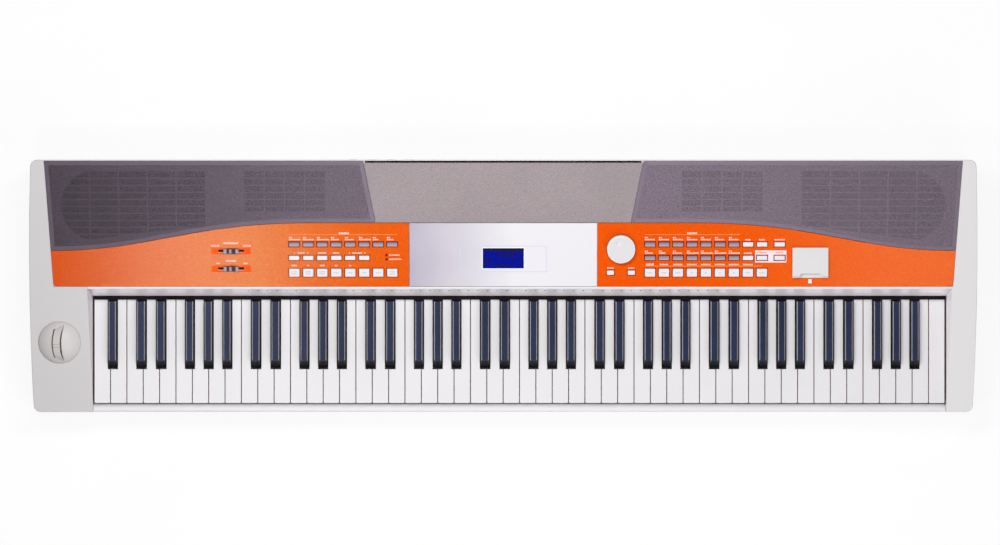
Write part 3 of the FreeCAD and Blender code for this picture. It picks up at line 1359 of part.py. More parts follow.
def black_key(index):
    # the black key that follows this white key
    letter = letters[index % 7]
    first = index - "CDE".index(letter) if letter in "CDE" else index - "FGAB".index(letter)
    whites = 3 if letter in "CDE" else 4
    step = 2 * (index - first) + 1
    name = f"black_{index}"
    left = f"({tail_start(first, whites, step)} + dim.black_gap - dim.key_gap / 2)"
    right = f"({tail_start(first, whites, step + 1)} - dim.black_gap + dim.key_gap / 2)"
    front = "(got.front_y + dim.black_front_set)"
    rear = "(got.felt_front - dim.black_rear_gap)"
    low = "(got.key_top - dim.black_skirt)"
    top = frustum(name + "_top", (left, right, front, rear),
                  (f"{left} + dim.black_side_run", f"{right} - dim.black_side_run",
                   f"{front} + dim.black_front_run", f"{rear} - dim.black_rear_run"),
                  low, "got.key_top + dim.black_rise")
    body = box(name + "_body", f"{right} - {left}", f"got.key_end - {front}",
               f"dim.key_height - dim.black_skirt", left, front, "got.key_low")
    left_cut = corner_cut(name + "_left", f"{left} + dim.black_corner", front, 135)
    right_cut = corner_cut(name + "_right", right, f"{front} + dim.black_corner", 225)
    return cut(name, fuse(name + "_solid", [top, body]), group(name + "_cuts", [rod_cut, left_cut, right_cut]))


def has_black(index):
    return letters[index % 7] in "ACDFG" and index < white_count - 1


middle_octave = range(23, 30)
key_names = {"C": "c", "D": "d", "E": "e", "F": "f", "G": "g", "A": "a", "B": "b"}
white_sets = {"white_keys_low": range(middle_octave.start),
              "white_keys_high": range(middle_octave.stop, white_count)}
for name, indexes in white_sets.items():
    node(name, group(name + "_set", [white_key(index) for index in indexes]))
    blacks = [black_key(index) for index in indexes if has_black(index)]
    node(name.replace("white", "black"), group(name + "_black_set", blacks))
for index in middle_octave:
    letter = key_names[letters[index % 7]]
    node(f"key_{letter}_four", group(f"key_{letter}_group", [white_key(index)]))
    if has_black(index):
        node(f"key_{letter}_sharp_four", group(f"key_{letter}_sharp_group", [black_key(index)]))

node("hinge_rod", rod("hinge_rod_bar", "dim.rod_radius", "got.keys_span", "got.keys_left", "got.axis_y",
                      "got.axis_height", "x"))

# chassis under the keys
chassis_sizes = {
    "chassis_drop": 44,
    "chassis_plate": 2,
    "chassis_front_set": 22,
    "rail_width": 10,
    "rail_rise": 5,
    "stop_set": 30,
    "stop_width": 8,
    "stop_felt": 3,
    "contact_set": 121,
    "contact_half": 15,
    "contact_rail": 4,
    "contact_rise": 6,
    "ridge_half": 3,
    "spring_radius": 2.4,
    "spring_set": 9,
}
add_sizes(chassis_sizes)
derive({
    "chassis_height": "got.key_top - dim.chassis_drop",
    "chassis_top": "got.chassis_height + dim.chassis_plate",
    "rail_front": "got.axis_y + dim.move_gap",
    "travel_tan": "tan(dim.key_travel_angle * 1deg)",
    "stop_y": "got.front_y + dim.stop_set",
    "stop_top": "got.key_low - (dim.axis_set - dim.stop_set) * got.travel_tan - dim.fit_gap",
    "contact_y": "got.front_y + dim.contact_set",
    "contact_top": "got.chassis_top + dim.contact_rise",
    "ridge_run": "dim.axis_set - dim.contact_set + dim.ridge_half",
    "ridge_top": "got.key_low - got.ridge_run * got.travel_tan - dim.fit_gap",
    "spring_y": "got.axis_y - dim.spring_set",
    "spring_top": "got.key_low - (dim.spring_set + dim.spring_radius) * got.travel_tan - dim.seat_gap",
})
base = box("chassis_base", "got.keys_span", "dim.axis_set + dim.rail_width - dim.chassis_front_set",
           "dim.chassis_plate", "got.keys_left", "got.front_y + dim.chassis_front_set", "got.chassis_height")
rail = box("chassis_rail", "got.keys_span", "dim.rail_width",
           "got.axis_height + dim.rail_rise - got.chassis_height", "got.keys_left", "got.rail_front",
           "got.chassis_height")
stop = box("chassis_stop", "got.keys_span", "dim.stop_width",
           "got.stop_top - dim.stop_felt - dim.seat_gap - got.chassis_height", "got.keys_left", "got.stop_y",
           "got.chassis_height")
contact_rails = []
for count, way in enumerate(("-1", "1")):
    contact_rails.append(mid_box(f"contact_rail_{count}", "got.keys_span", "dim.contact_rail",
                                 "dim.contact_rise + dim.chassis_plate", "got.keys_left + got.keys_span / 2",
                                 f"got.contact_y + {way} * (dim.contact_half - dim.contact_rail / 2)",
                                 "got.chassis_height"))
rail_groove = rod("rail_groove", "dim.rod_radius + dim.run_clearance", "got.keys_span + 2 * dim.overrun",
                  "got.keys_left - dim.overrun", "got.axis_y", "got.axis_height", "x")
node("key_chassis", cut("chassis", fuse("chassis_solid", [base, rail, stop] + contact_rails), rail_groove))

felt_strip = box("felt_strip", "got.keys_span", "dim.felt_show + dim.felt_tuck", "dim.felt_thickness",
                 "got.keys_left", "got.felt_front", "got.felt_low")
stop_strip = box("stop_strip", "got.keys_span", "dim.stop_width", "dim.stop_felt", "got.keys_left",
                 "got.stop_y", "got.stop_top - dim.stop_felt")
node("key_felt", group("felt_strips", [felt_strip, stop_strip]))

contact_plate = mid_box("contact_plate", "got.keys_span", "2 * dim.contact_half", "dim.board",
                        "got.keys_left + got.keys_span / 2", "got.contact_y", "got.contact_top + dim.seat_gap")
ridge_low = "(got.contact_top + dim.seat_gap + dim.board / 2)"
ridge = mid_box("contact_ridge", "got.keys_span", "2 * dim.ridge_half", f"got.ridge_top - {ridge_low}",
                "got.keys_left + got.keys_span / 2", "got.contact_y", ridge_low)
node("contact_board", fuse("contact_strip", [contact_plate, ridge]))

springs = []
for index in range(white_count):
    letter = letters[index % 7]
    first = index - "CDE".index(letter) if letter in "CDE" else index - "FGAB".index(letter)
    whites = 3 if letter in "CDE" else 4
    step = 2 * (index - first)
    steps = [step + 1 / 2]
    if has_black(index):
        steps.append(step + 3 / 2)
    for count, middle in enumerate(steps):
        springs.append(rod(f"spring_{index}_{count}", "dim.spring_radius", "got.spring_top - got.chassis_top",
                           tail_start(first, whites, middle), "got.spring_y", "got.chassis_top"))
node("key_springs", group("spring_row", springs))

# key slip between the cheeks
slip_sizes = {
    "slip_gap": 1.3,
    "slip_drop": 13,
    "slip_round": 2,
}
add_sizes(slip_sizes)
slip = box("slip_bar", "got.well_right - got.well_left - 2 * dim.seat_gap",
           "dim.key_front_set - dim.slip_gap", "got.key_top - dim.slip_drop - dim.split_height - dim.seat_gap",
           "got.well_left + dim.seat_gap", "got.front_y", "dim.split_height + dim.seat_gap")
slip.recompute(True)
slip_edges = []
for number, edge in enumerate(slip.Shape.Edges, 1):
    high = slip.Shape.BoundBox.ZMax
    along = abs(edge.BoundBox.XLength) > size("keys_span") / 2
    if along and edge.BoundBox.ZMin > high - size("seat_gap") / 2:
        slip_edges.append((number, size("slip_round"), size("slip_round")))
slip_rounded = doc.addObject("Part::Fillet", "slip_rounded")
slip_rounded.Base = slip
slip_rounded.Edges = slip_edges
node("key_slip", slip_rounded)

# top case with every hole
bed_cuts = tilt(group("bed_cuts", bed_holes))
top_solid = fuse("top_solid", [shell, bed_block, skirts])
top_well = cut("top_well", cut("top_recess", top_solid, recess), fuse("well", [well, well_box]))
top_plain = cut("top_plain", top_well, rear_opening)
node("top_case", cut("top", cut("top_bed", top_plain, bed_cuts), cheek_hole))

# bottom case: a tray
tray = cut("tray",
           extrude("tray_outer", outline, "dim.split_height - dim.foot_height - dim.seat_gap",
                   "dim.foot_height"),
           extrude("tray_inner", inner_outline, "dim.split_height + dim.overrun", "got.floor"))
node("bottom_case", cut("bottom", tray, group("floor_holes", screw_holes)))

# standoffs carry the chassis and the boards on the floor
boss_low = "(got.floor + dim.seat_gap)"
for column in range(6):
    for row, y in enumerate(("got.front_y + dim.chassis_front_set + dim.boss_in",
                             "got.axis_y - dim.boss_in")):
        x = f"got.keys_left + dim.boss_in + {column} * (got.keys_span - 2 * dim.boss_in) / 5"
        standoffs.append(rod(f"chassis_boss_{column}_{row}", "dim.boss_radius",
                             f"got.chassis_height - dim.seat_gap - {boss_low}", x, y, boss_low))
board_spots = (
    ("main", "got.jack_plate_left", "got.jack_plate_wide", "got.main_board_front", "dim.main_board_deep",
     "got.main_board_top - dim.board"),
    ("amp", "dim.amp_board_set", "dim.amp_board_wide", "got.amp_front", "dim.amp_board_deep",
     "dim.amp_board_height"),
)
for name, left, wide, near, deep, height in board_spots:
    for far_x in (0, 1):
        for far_y in (0, 1):
            x = f"{left} + dim.boss_in + {far_x} * ({wide} - 2 * dim.boss_in)"
            y = f"{near} + dim.boss_in + {far_y} * ({deep} - 2 * dim.boss_in)"
            standoffs.append(rod(f"{name}_boss_{far_x}{far_y}", "dim.boss_radius",
                                 f"{height} - dim.seat_gap - {boss_low}", x, y, boss_low))
node("standoffs", group("standoff_set", standoffs))

# feet
foot_sizes = {
    "foot_radius": 11,
    "foot_flare": 1.5,
    "foot_set": 34,
    "foot_side_set": 70,
}
add_sizes(foot_sizes)
feet = []
for column in (-1, 0, 1):
    for row in (-1, 1):
        foot = doc.addObject("Part::Cone", f"foot_{column + 1}{row + 1}")
        bind(foot, Radius1="dim.foot_radius - dim.foot_flare", Radius2="dim.foot_radius",
             Height="dim.foot_height - dim.seat_gap")
        place(foot, f"{column} * (got.case_half - dim.foot_side_set)",
              f"{row} * (-got.front_y - dim.foot_set)")
        feet.append(foot)
node("rubber_feet", group("feet", feet))

doc.recompute()
failed = [item.Name for item in doc.Objects if "Invalid" in item.State or "Error" in item.State]
if failed:
    raise RuntimeError("objects that did not build: " + ", ".join(failed))
for piece in nodes:
    if piece.Shape.isNull() or not piece.Shape.isValid() or not piece.Shape.Solids:
        raise RuntimeError("no valid solid in " + piece.Label)
os.makedirs("parts", exist_ok=True)
for piece in nodes:
    piece.Shape.exportStep(f"parts/{piece.Label}.step")
print(len(nodes), "nodes", sum(len(piece.Shape.Solids) for piece in nodes), "solids")
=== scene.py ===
from math import cos, pi, radians, sin

import bmesh
import bpy
from mathutils import Matrix, Vector


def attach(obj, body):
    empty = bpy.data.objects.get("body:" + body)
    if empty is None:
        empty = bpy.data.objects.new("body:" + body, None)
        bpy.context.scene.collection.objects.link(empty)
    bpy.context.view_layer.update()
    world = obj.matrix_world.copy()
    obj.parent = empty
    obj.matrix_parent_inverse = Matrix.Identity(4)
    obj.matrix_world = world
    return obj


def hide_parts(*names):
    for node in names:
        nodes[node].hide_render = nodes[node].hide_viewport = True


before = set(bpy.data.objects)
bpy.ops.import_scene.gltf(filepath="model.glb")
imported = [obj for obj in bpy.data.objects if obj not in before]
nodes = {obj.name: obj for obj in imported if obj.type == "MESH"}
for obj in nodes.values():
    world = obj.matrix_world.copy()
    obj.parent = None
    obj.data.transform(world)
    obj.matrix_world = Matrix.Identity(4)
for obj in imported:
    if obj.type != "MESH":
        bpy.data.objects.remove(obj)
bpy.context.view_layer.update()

scene = bpy.context.scene
mm = 0.001

# the sloping top: x across, y up the slope from its front edge, z out of it
slope, frontY, frontZ = 9, -180.5217, 74
plateFront, upperFront, plateRear, displayHalf = 182.2437, 274.6437, 364.0437, 134.4
topMatrix = (Matrix.Translation((0, frontY * mm, frontZ * mm)) @ Matrix.Rotation(radians(slope), 4, "X")
             @ Matrix.Scale(mm, 4))
roomMatrix = Matrix.Scale(mm, 4)

# lengths in mm that tell near places apart, and the scale of each noise, per metre
hair, thin, weldDistance = 0.01, 0.05, 0.0005
scales = dict(drift=12, cloud=14, paintCloud=9, sheetCloud=6, speck=560, meshSpeck=520, cap=1000, drawn=60, fuzz=700,
              wander=dict(X=420, Y=480), dots=1600, screen=40, floor=3)


def tint(code):
    # a colour as seen, such as "D2CFD0", in linear light
    parts = [int(code[i:i + 2], 16) / 255 for i in (0, 2, 4)]
    return tuple(p / 12.92 if p <= 0.04045 else ((p + 0.055) / 1.055) ** 2.4 for p in parts) + (1.0,)


finishes = {}


def newFinish(name):
    mat = finishes[name] = bpy.data.materials.new(name)
    mat.use_nodes = True
    mat.node_tree.nodes.new("ShaderNodeTexCoord").name = "coords"
    return mat.node_tree


def here(tree):
    return tree.nodes["coords"].outputs["Object"]


def join(tree, value, socket):
    # a constant, or the output of another node, into a socket
    if isinstance(value, bpy.types.NodeSocket):
        tree.links.new(value, socket)
    else:
        socket.default_value = value


def feed(tree, name, value):
    join(tree, value, tree.nodes["Principled BSDF"].inputs[name])


def addNode(tree, kind, **values):
    node = tree.nodes.new("ShaderNode" + kind)
    for name, value in values.items():
        join(tree, value, node.inputs[name])
    return node


def noise(tree, scale, detail=3, stretch=None):
    source = here(tree)
    if stretch:
        source = addNode(tree, "Mapping", Scale=stretch, Vector=source).outputs["Vector"]
    return addNode(tree, "TexNoise", Scale=scale, Detail=detail, Vector=source).outputs["Fac"]


def ramp(tree, fac, colours, start=0.3, end=0.7):
    # evenly spaced colours between two positions
    blend = addNode(tree, "ValToRGB", Fac=fac)
    stops = blend.color_ramp.elements
    stops[0].position, stops[1].position = start, end
    for n in range(1, len(colours) - 1):
        stops.new(start + (end - start) * n / (len(colours) - 1))
    for stop, colour in zip(stops, colours):
        stop.color = tint(colour) if isinstance(colour, str) else colour
    return blend.outputs["Color"]


def spread(tree, fac, low, high, start=0.0, end=1.0):
    ends = {"From Min": start, "From Max": end, "To Min": low, "To Max": high}
    return addNode(tree, "MapRange", Value=fac, **ends).outputs["Result"]


def reckon(tree, operation, *values):
    step = addNode(tree, "Math")
    step.operation = operation
    for value, socket in zip(values, step.inputs):
        join(tree, value, socket)
    return step.outputs[0]


def axes(tree):
    return addNode(tree, "SeparateXYZ", Vector=here(tree)).outputs


def toneOf(tree, tones, span=None, scale=None, detail=4, driftShare=0.06):
    # tones that turn slowly along a span of x in metres, with a share of drift, or slow clouds between tones
    if not span:
        return ramp(tree, noise(tree, scale, detail), tones)
    drift = reckon(tree, "MULTIPLY", noise(tree, scales["drift"]), driftShare)
    place = reckon(tree, "ADD", axes(tree)["X"], drift)
    return ramp(tree, spread(tree, place, 0.0, 1.0, *span), tones, 0.0, 1.0)


def speckled(tree, tone, scale, depth):
    # fine light and dark specks over a tone, with a depth for each of red, green and blue
    mix = addNode(tree, "Mix")
    mix.data_type = "RGBA"
    mix.blend_type = "MULTIPLY"
    mix.inputs["Factor"].default_value = 1.0
    low, high = ([1 + way * share for share in depth] + [1] for way in (-1, 1))
    join(tree, tone, mix.inputs["A"])
    join(tree, ramp(tree, noise(tree, scale, detail=1), (low, high)), mix.inputs["B"])
    return mix.outputs["Result"]


def surface(tree, tone, grain, rough, depth, specular=0.5):
    # a tone, with a roughness and a fine relief that follow a grain
    feed(tree, "Base Color", tone)
    feed(tree, "Roughness", spread(tree, grain, *rough))
    feed(tree, "Specular IOR Level", specular)
    feed(tree, "Normal", addNode(tree, "Bump", Strength=0.5, Distance=depth * mm, Height=grain).outputs["Normal"])


def moulded(name, *tones, rough=(0.4, 0.5), scale=900, depth=0.05, specular=0.5, span=None, specks=0.0):
    # plastic with a fine spark grain
    tree = newFinish(name)
    tone = toneOf(tree, tones, span, scales["cloud"])
    if specks:
        tone = speckled(tree, tone, scales["speck"], [specks] * 3)
    surface(tree, tone, noise(tree, scale, detail=2), rough, depth, specular)


def paintedLightToFront(name, *tones, rough, grainShare=0.25, rampStart=0.1, depth=0.03):
    # plastic cap with painted light: its tone runs from darker at its rear edge to lighter at its front edge
    tree = newFinish(name)
    frontShareSource = addNode(tree, "Attribute")
    frontShareSource.attribute_name = "frontShare"
    grain = noise(tree, scales["cap"], detail=2)
    mixed = reckon(tree, "MULTIPLY_ADD", grain, grainShare, frontShareSource.outputs["Fac"])
    surface(tree, ramp(tree, mixed, tones, rampStart, 1.0), grain, rough, depth)


def flecked(name, *tones, rough, flakeScale=600, specular=0.5, depth=0.02, span=None, sheen="FFFFFF",
            sparkle=0.5, specks=(0.02, 0.35, 0.2)):
    # paint with small flakes that catch the light: some of them shine more than others
    tree = newFinish(name)
    tone = toneOf(tree, tones, span, scales["paintCloud"])
    fleck = noise(tree, flakeScale, detail=1)
    shine = spread(tree, fleck, specular * (1 - sparkle), specular * (1 + sparkle), 0.3, 0.7)
    surface(tree, speckled(tree, tone, flakeScale, specks), fleck, rough, depth, shine)
    feed(tree, "Specular Tint", tint(sheen))


def drawnSheet(name, *tones, rough, metallic=0.0, span=None, stretch=(1, 40, 40), depth=0.01):
    # fine lines along the sheet, in satin metal, or with a tone that sweeps across it
    tree = newFinish(name)
    tone = toneOf(tree, tones, span, scales["sheetCloud"], detail=3)
    surface(tree, tone, noise(tree, scales["drawn"], stretch=stretch), rough, depth)
    feed(tree, "Metallic", metallic)


def speakerMesh(name, *tones, span, holePitch, rough, specular, wanderShare=2, edge=-0.04, specks=0.32,
                fuzzDepth=0.05):
    # woven sheet, half of it small holes in wandering rows that let the lattice show
    tree = newFinish(name)
    finishes[name].surface_render_method = "DITHERED"
    waves = []
    for axis, scale in scales["wander"].items():
        wander = reckon(tree, "MULTIPLY", noise(tree, scale, detail=1), wanderShare * holePitch * mm)
        place = reckon(tree, "ADD", axes(tree)[axis], wander)
        waves.append(reckon(tree, "SINE", reckon(tree, "MULTIPLY", place, 2 * pi / (holePitch * mm))))
    feed(tree, "Alpha", reckon(tree, "LESS_THAN", reckon(tree, "MULTIPLY", *waves), edge))
    tone = speckled(tree, toneOf(tree, tones, span), scales["meshSpeck"], [specks] * 3)
    surface(tree, tone, noise(tree, scales["fuzz"], detail=2), rough, fuzzDepth, specular)


def litScreen(name, low, high, glow, rough, specular):
    # back-lit display: a fine dot grid under the glass
    tree = newFinish(name)
    dots = addNode(tree, "TexChecker", Scale=scales["dots"], Color1=tint(low), Color2=tint(high), Vector=here(tree))
    feed(tree, "Base Color", dots.outputs["Color"])
    feed(tree, "Emission Color", dots.outputs["Color"])
    feed(tree, "Emission Strength", glow)
    feed(tree, "Specular IOR Level", specular)
    feed(tree, "Roughness", spread(tree, noise(tree, scales["screen"]), *rough))


# settings that several finishes share
across = (-0.65, 0.65)
satin = dict(rough=(0.35, 0.45), depth=0.03)
matt = dict(rough=(0.8, 0.9), scale=500, specular=0.05)
coarse = dict(rough=(0.6, 0.75), depth=0.08, specular=0.15)
polished = dict(scale=300, depth=0.01)
printed = dict(rough=(0.55, 0.65), scale=1200, depth=0.01, specular=0.1)
# painted shade: the shell runs darker towards the left end of the object
moulded("shellWhite", "C2BFC0", "D9D7D8", rough=(0.45, 0.55), span=across)
moulded("wellGlossAndPaintedLight", "FAF4FB", "FDF8FE", rough=(0.1, 0.16), specular=1.0, **polished)
moulded("wellSide", "D6CBD2", "F4EEF4", rough=(0.3, 0.4), span=(-0.59, 0.59), **polished)
moulded("slipWhite", "DBD9DB", "DFDDDF")
# painted shade and sheen: the orange runs darker towards the left end, and yellower left of the middle and at the
# right end, where the panels show a sheen
flecked("orangePaint", "D04806", "D46206", "E65002", "E65302", "EA5C02", rough=(0.1, 0.2), specular=0.075, depth=0.08,
        span=(-0.63, 0.61), sheen="FFFADF")
flecked("dishOrange", "EE5206", "F45A08", rough=(0.5, 0.6), specular=0.1)
flecked("gapShadeOrange", "A83206", "B23808", rough=(0.6, 0.7), specular=0.05)
# painted reflection: the display panel turns from a darker lilac grey at its left to near white at its right
drawnSheet("silverSheetReflection", "9C92A8", "DDDBDF", span=(-0.13, 0.04), rough=(0.35, 0.45))
# painted shade: the grille and its mesh run darker towards the left end, lightest between the middle and the right
# end
moulded("grilleGrey", "5A505B", "776A78", "837584", "766977", scale=700, span=across, specks=0.1, **coarse)
speakerMesh("grilleMesh", "504851", "7E7280", "908191", "847785", span=across, holePitch=0.62, rough=(0.6, 0.8),
            specular=0.1)
moulded("grilleEdgeGrey", "7A6D7C", "827584", **coarse)
flecked("deckGrey", "958A8D", "9B9093", rough=(0.55, 0.7), specular=0.2, depth=0.05, specks=[0.12] * 3)
moulded("whiteKeyGloss", "DEDCDF", "E1DFE2", rough=(0.2, 0.28), scale=400, depth=0.01)
moulded("whiteKeySide", "D4B0AC", "DCBAB6", rough=(0.5, 0.6), scale=400, depth=0.02, specular=0.1)
moulded("blackKeySatin", "0C1636", "122244", rough=(0.22, 0.3), depth=0.02, specular=0.25)
moulded("blackKeySide", "09080B", "0E0D11", rough=(0.35, 0.45), depth=0.02, specular=0.1)
moulded("blackKeyEdge", "9E9AA2", "AAA6AE", rough=(0.25, 0.35), depth=0.02, specular=0.4)
moulded("redBlackFelt", "180E12", "22161B", rough=(0.9, 1.0), scale=1500, depth=0.3, specular=0.05)
moulded("whiteButton", "DAD7DC", "E0DDE2", specular=0.4, **satin)
paintedLightToFront("greyButton", "6A5C6E", "A898A6", rough=(0.4, 0.5))
moulded("sliderGrey", "8A818D", "968D99", **satin)
moulded("sliderValleyShade", "3A2930", "48363C", rough=(0.45, 0.55), depth=0.03, specular=0.1)
moulded("dialWhite", "D1CFD1", "D5D3D5", rough=(0.3, 0.4), depth=0.02)
moulded("dialRimHighlight", "EEEDEF", "F2F1F3", rough=(0.25, 0.35), depth=0.02)
# painted shade: the dome runs darker towards its left side
moulded("domeWhite", "B9B3B2", "CBC7C6", rough=(0.38, 0.48), depth=0.03, specular=0.4, span=(-0.7, -0.61))
moulded("domeRing", "645C59", "B2A8A4", rough=(0.6, 0.7), depth=0.01, specular=0.1, span=(-0.67, -0.6))
moulded("coverWhite", "D5D3D4", "D9D7D8", specular=0.4, **satin)
litScreen("blueScreen", "010852", "021096", glow=0.4, rough=(0.08, 0.14), specular=0.04)
moulded("redLamp", "760206", "8A0408", depth=0.01, specular=0.05)
moulded("whiteLampAndBevelHighlight", "EAE8EB", "EFEDF0", rough=(0.3, 0.4), depth=0.01, specular=0.3)
moulded("blackPlastic", "161518", "201F23", rough=(0.5, 0.65), specular=0.3)
# painted shade: black for the depth of the slots
moulded("blackCard", "0E0C0F", "151216", **matt)
# painted shade for the depth behind the grille lattice, darker towards the left end
moulded("cellShadeCard", "070608", "2E282F", span=(-0.4, 0.4), **matt)
# painted shade for the gaps beside the bend wheel
moulded("wheelGapShade", "5C4C4A", "665654", rough=(0.7, 0.8), scale=500, specular=0.05)
moulded("cellShadeGrey", "3C343E", "443B46", **matt)
moulded("boardGreen", "1E4A2C", "285A38", rough=(0.4, 0.55), scale=300)
drawnSheet("drawnSteel", "8C8C8E", "A2A2A4", rough=(0.3, 0.45), metallic=0.9)
moulded("footRubber", "1C1C1C", "262626", rough=(0.75, 0.9), scale=600, depth=0.15, specular=0.2)
inks = dict(ink=("EAD0C3", "EFD7CB"), faintInkAndHighlight=("EE7E48", "F28A56"), paleInk=("E9DAE3", "EEE0E8"),
            greyInk=("B9B0BA", "C2B9C2"), blueInk=("C3CCE6", "CBD3EA"), screenShadowNavy=("02052A", "040834"),
            screenRowNavy=("05083C", "070B46"), halfShadeInk=("02075A", "030966"), mauveInk=("8C818B", "988D97"),
            coverReflectionPink=("C9B3B0", "D1BCB9"), brownInkAndShadow=("8A7B77", "958682"))
for name, tones in inks.items():
    moulded(name, *tones, **printed)
print("finishes", len(finishes))

dressed = dict(
    shellWhite="top_case bottom_case", slipWhite="key_slip", orangePaint="left_control_panel right_control_panel",
    silverSheetReflection="display_panel", grilleGrey="left_grille right_grille", grilleMesh="grille_mesh", deckGrey="rear_deck",
    redBlackFelt="key_felt", blueScreen="display_glass", domeWhite="pitch_bend_dome", coverWhite="card_cover",
    redLamp="red_lamps", whiteLampAndBevelHighlight="card_lamp", boardGreen="contact_board switch_boards circuit_boards",
    drawnSteel="key_chassis hinge_rod key_springs case_screws standoffs", footRubber="rubber_feet",
    blackPlastic="display_module control_bodies card_socket speakers jack_plate audio_jacks rear_ports power_button")
for finish, names in dressed.items():
    for name in names.split():
        data = nodes[name].data
        data.materials.clear()
        data.materials.append(finishes[finish])
print("CAD nodes dressed")


def soften(name, width):
    # eased edges on a CAD node: its loose triangles are welded first
    weld = nodes[name].modifiers.new("weld", "WELD")
    weld.merge_threshold = 0.002 * mm
    bevel = nodes[name].modifiers.new("bevel", "BEVEL")
    bevel.width = width * mm
    bevel.segments = 2
    bevel.limit_method = "ANGLE"
    bevel.angle_limit = radians(40)
    bevel.harden_normals = True


def finishPiece(name, bm, body, looks, matrix, replaced=(), smooth=True):
    bmesh.ops.remove_doubles(bm, verts=bm.verts, dist=weldDistance)
    bmesh.ops.transform(bm, matrix=matrix, verts=bm.verts)
    bmesh.ops.recalc_face_normals(bm, faces=bm.faces)
    data = bpy.data.meshes.new(name)
    bm.to_mesh(data)
    bm.free()
    piece = bpy.data.objects.new(name, data)
    scene.collection.objects.link(piece)
    for look in looks:
        data.materials.append(finishes[look])
    if smooth:
        for face in data.polygons:
            face.use_smooth = True
        data.set_sharp_from_angle(angle=radians(50))
        normals = piece.modifiers.new("normals", "WEIGHTED_NORMAL")
        normals.keep_sharp = True
    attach(piece, body)
    if replaced:
        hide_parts(*replaced)


def finishPrint(name, bm, look, body="case", matrix=topMatrix):
    # a thin flat piece, such as a printed line
    finishPiece(name, bm, body, [look], matrix, smooth=False)


def addBlock(bm, corner, opposite):
    # a box between two opposite corners; gives its new vertices
    sides = [sorted(pair) for pair in zip(corner, opposite)]
    made = bmesh.ops.create_cube(bm, size=1)["verts"]
    bmesh.ops.scale(bm, vec=[high - low for low, high in sides], verts=made)
    bmesh.ops.translate(bm, vec=[(low + high) / 2 for low, high in sides], verts=made)
    return made


def easeEdges(bm, edges, offset, segments=2):
    bmesh.ops.bevel(bm, geom=edges, offset=offset, offset_type="OFFSET", affect="EDGES", segments=segments,
                    profile=0.5, material=-1, clamp_overlap=True)


def easeAbove(bm, verts, level, offset):
    # rounds the edges of a block that reach above a level
    easeEdges(bm, [e for e in edgesOf(verts) if max(v.co.z for v in e.verts) > level], offset, 3)


def thicken(bm, face, vec):
    # pulls a face out along a vector; gives the new vertices
    grown = bmesh.ops.extrude_face_region(bm, geom=[face])["geom"]
    made = [item for item in grown if isinstance(item, bmesh.types.BMVert)]
    bmesh.ops.translate(bm, vec=vec, verts=made)
    return made


def edgesOf(verts):
    picked = set(verts)
    return list({edge for vert in verts for edge in vert.link_edges if set(edge.verts) <= picked})


def turned(bm, profile, axis, steps):
    # a solid of revolution from points (along, out) on the axis "X" or "Z"
    place = (lambda a, r: (a, 0, r)) if axis == "X" else (lambda a, r: (r, 0, a))
    points = [bm.verts.new(place(a, r)) for a, r in profile]
    path = [bm.edges.new(pair) for pair in zip(points, points[1:])]
    around = (1, 0, 0) if axis == "X" else (0, 0, 1)
    bmesh.ops.spin(bm, geom=points + path, cent=(0, 0, 0), axis=around, angle=2 * pi, steps=steps,
                   use_merge=True)


def addRing(bm, x, y, inner, outer, low, high, steps):
    # a flat ring on the top, in an empty mesh
    turned(bm, [(low, inner), (high, inner), (high, outer), (low, outer), (low, inner)], "Z", steps)
    bmesh.ops.translate(bm, vec=(x, y, 0), verts=bm.verts)


def addFrame(bm, left, right, front, rear, line, thick):
    # four thin strips round an opening
    for x, y, out in ((left, front, -line), (right, rear, line)):
        addBlock(bm, (x, front - line, 0), (x + out, rear + line, thick))
        addBlock(bm, (left, y, 0), (right, y + out, thick))


# keys
keys = dict(left=90.3 - 678, pitch=23.5, gap=1.0, blackGap=0.75, frontSet=12.9, headLength=48.7, axisSet=217,
            endGap=0.35, height=18, lip=3.2, lipReach=1.4, easeTop=0.6, frontCorner=1.4, blackFront=63.4,
            blackRear=160.3, blackRise=11.5, blackSkirt=4, blackCorner=1.8, sideRun=1.5, frontRun=9, rearRun=1,
            easeBlack=0.9, count=52, skirtTuck=0.15, skirtCorner=0.4, skirtOver=0.4, cheekOver=0.2, arcSteps=3)
letters = "ABCDEFG"
keyRear = frontY + keys["axisSet"] - keys["endGap"]


def keyTail(index, step):
    # tails share the space of each group evenly between its white and black keys
    letter = letters[index % 7]
    members = "CDE" if letter in "CDE" else "FGAB"
    first = index - members.index(letter)
    share = (2 * members.index(letter) + step) * len(members) / (2 * len(members) - 1)
    return keys["left"] + (first + share) * keys["pitch"]


def prism(bm, outline, low, high):
    face = bm.faces.new([bm.verts.new((x, y, low)) for x, y in outline])
    return thicken(bm, face, (0, 0, high - low))


def whiteOutline(index, front, tuck, corner):
    half = keys["gap"] / 2 + tuck
    left = keys["left"] + index * keys["pitch"] + half
    right = keys["left"] + (index + 1) * keys["pitch"] - half
    headEnd = frontY + keys["frontSet"] + keys["headLength"] - tuck
    tailLeft = left if index == 0 else keyTail(index, 0) + half
    tailRight = right if index == keys["count"] - 1 else keyTail(index, 1) - half
    points = []
    for x, way in ((left, 1), (right, -1)):
        arc = []
        for n in range(keys["arcSteps"] + 1):
            angle = radians(90 * n / keys["arcSteps"])
            arc.append((x + way * corner * (1 - cos(angle)), front + corner * (1 - sin(angle))))
        points += arc if way > 0 else arc[::-1]
    if right - tailRight > hair:
        points += [(right, headEnd), (tailRight, headEnd)]
    points += [(tailRight, keyRear), (tailLeft, keyRear)]
    if tailLeft - left > hair:
        points += [(tailLeft, headEnd), (left, headEnd)]
    return points


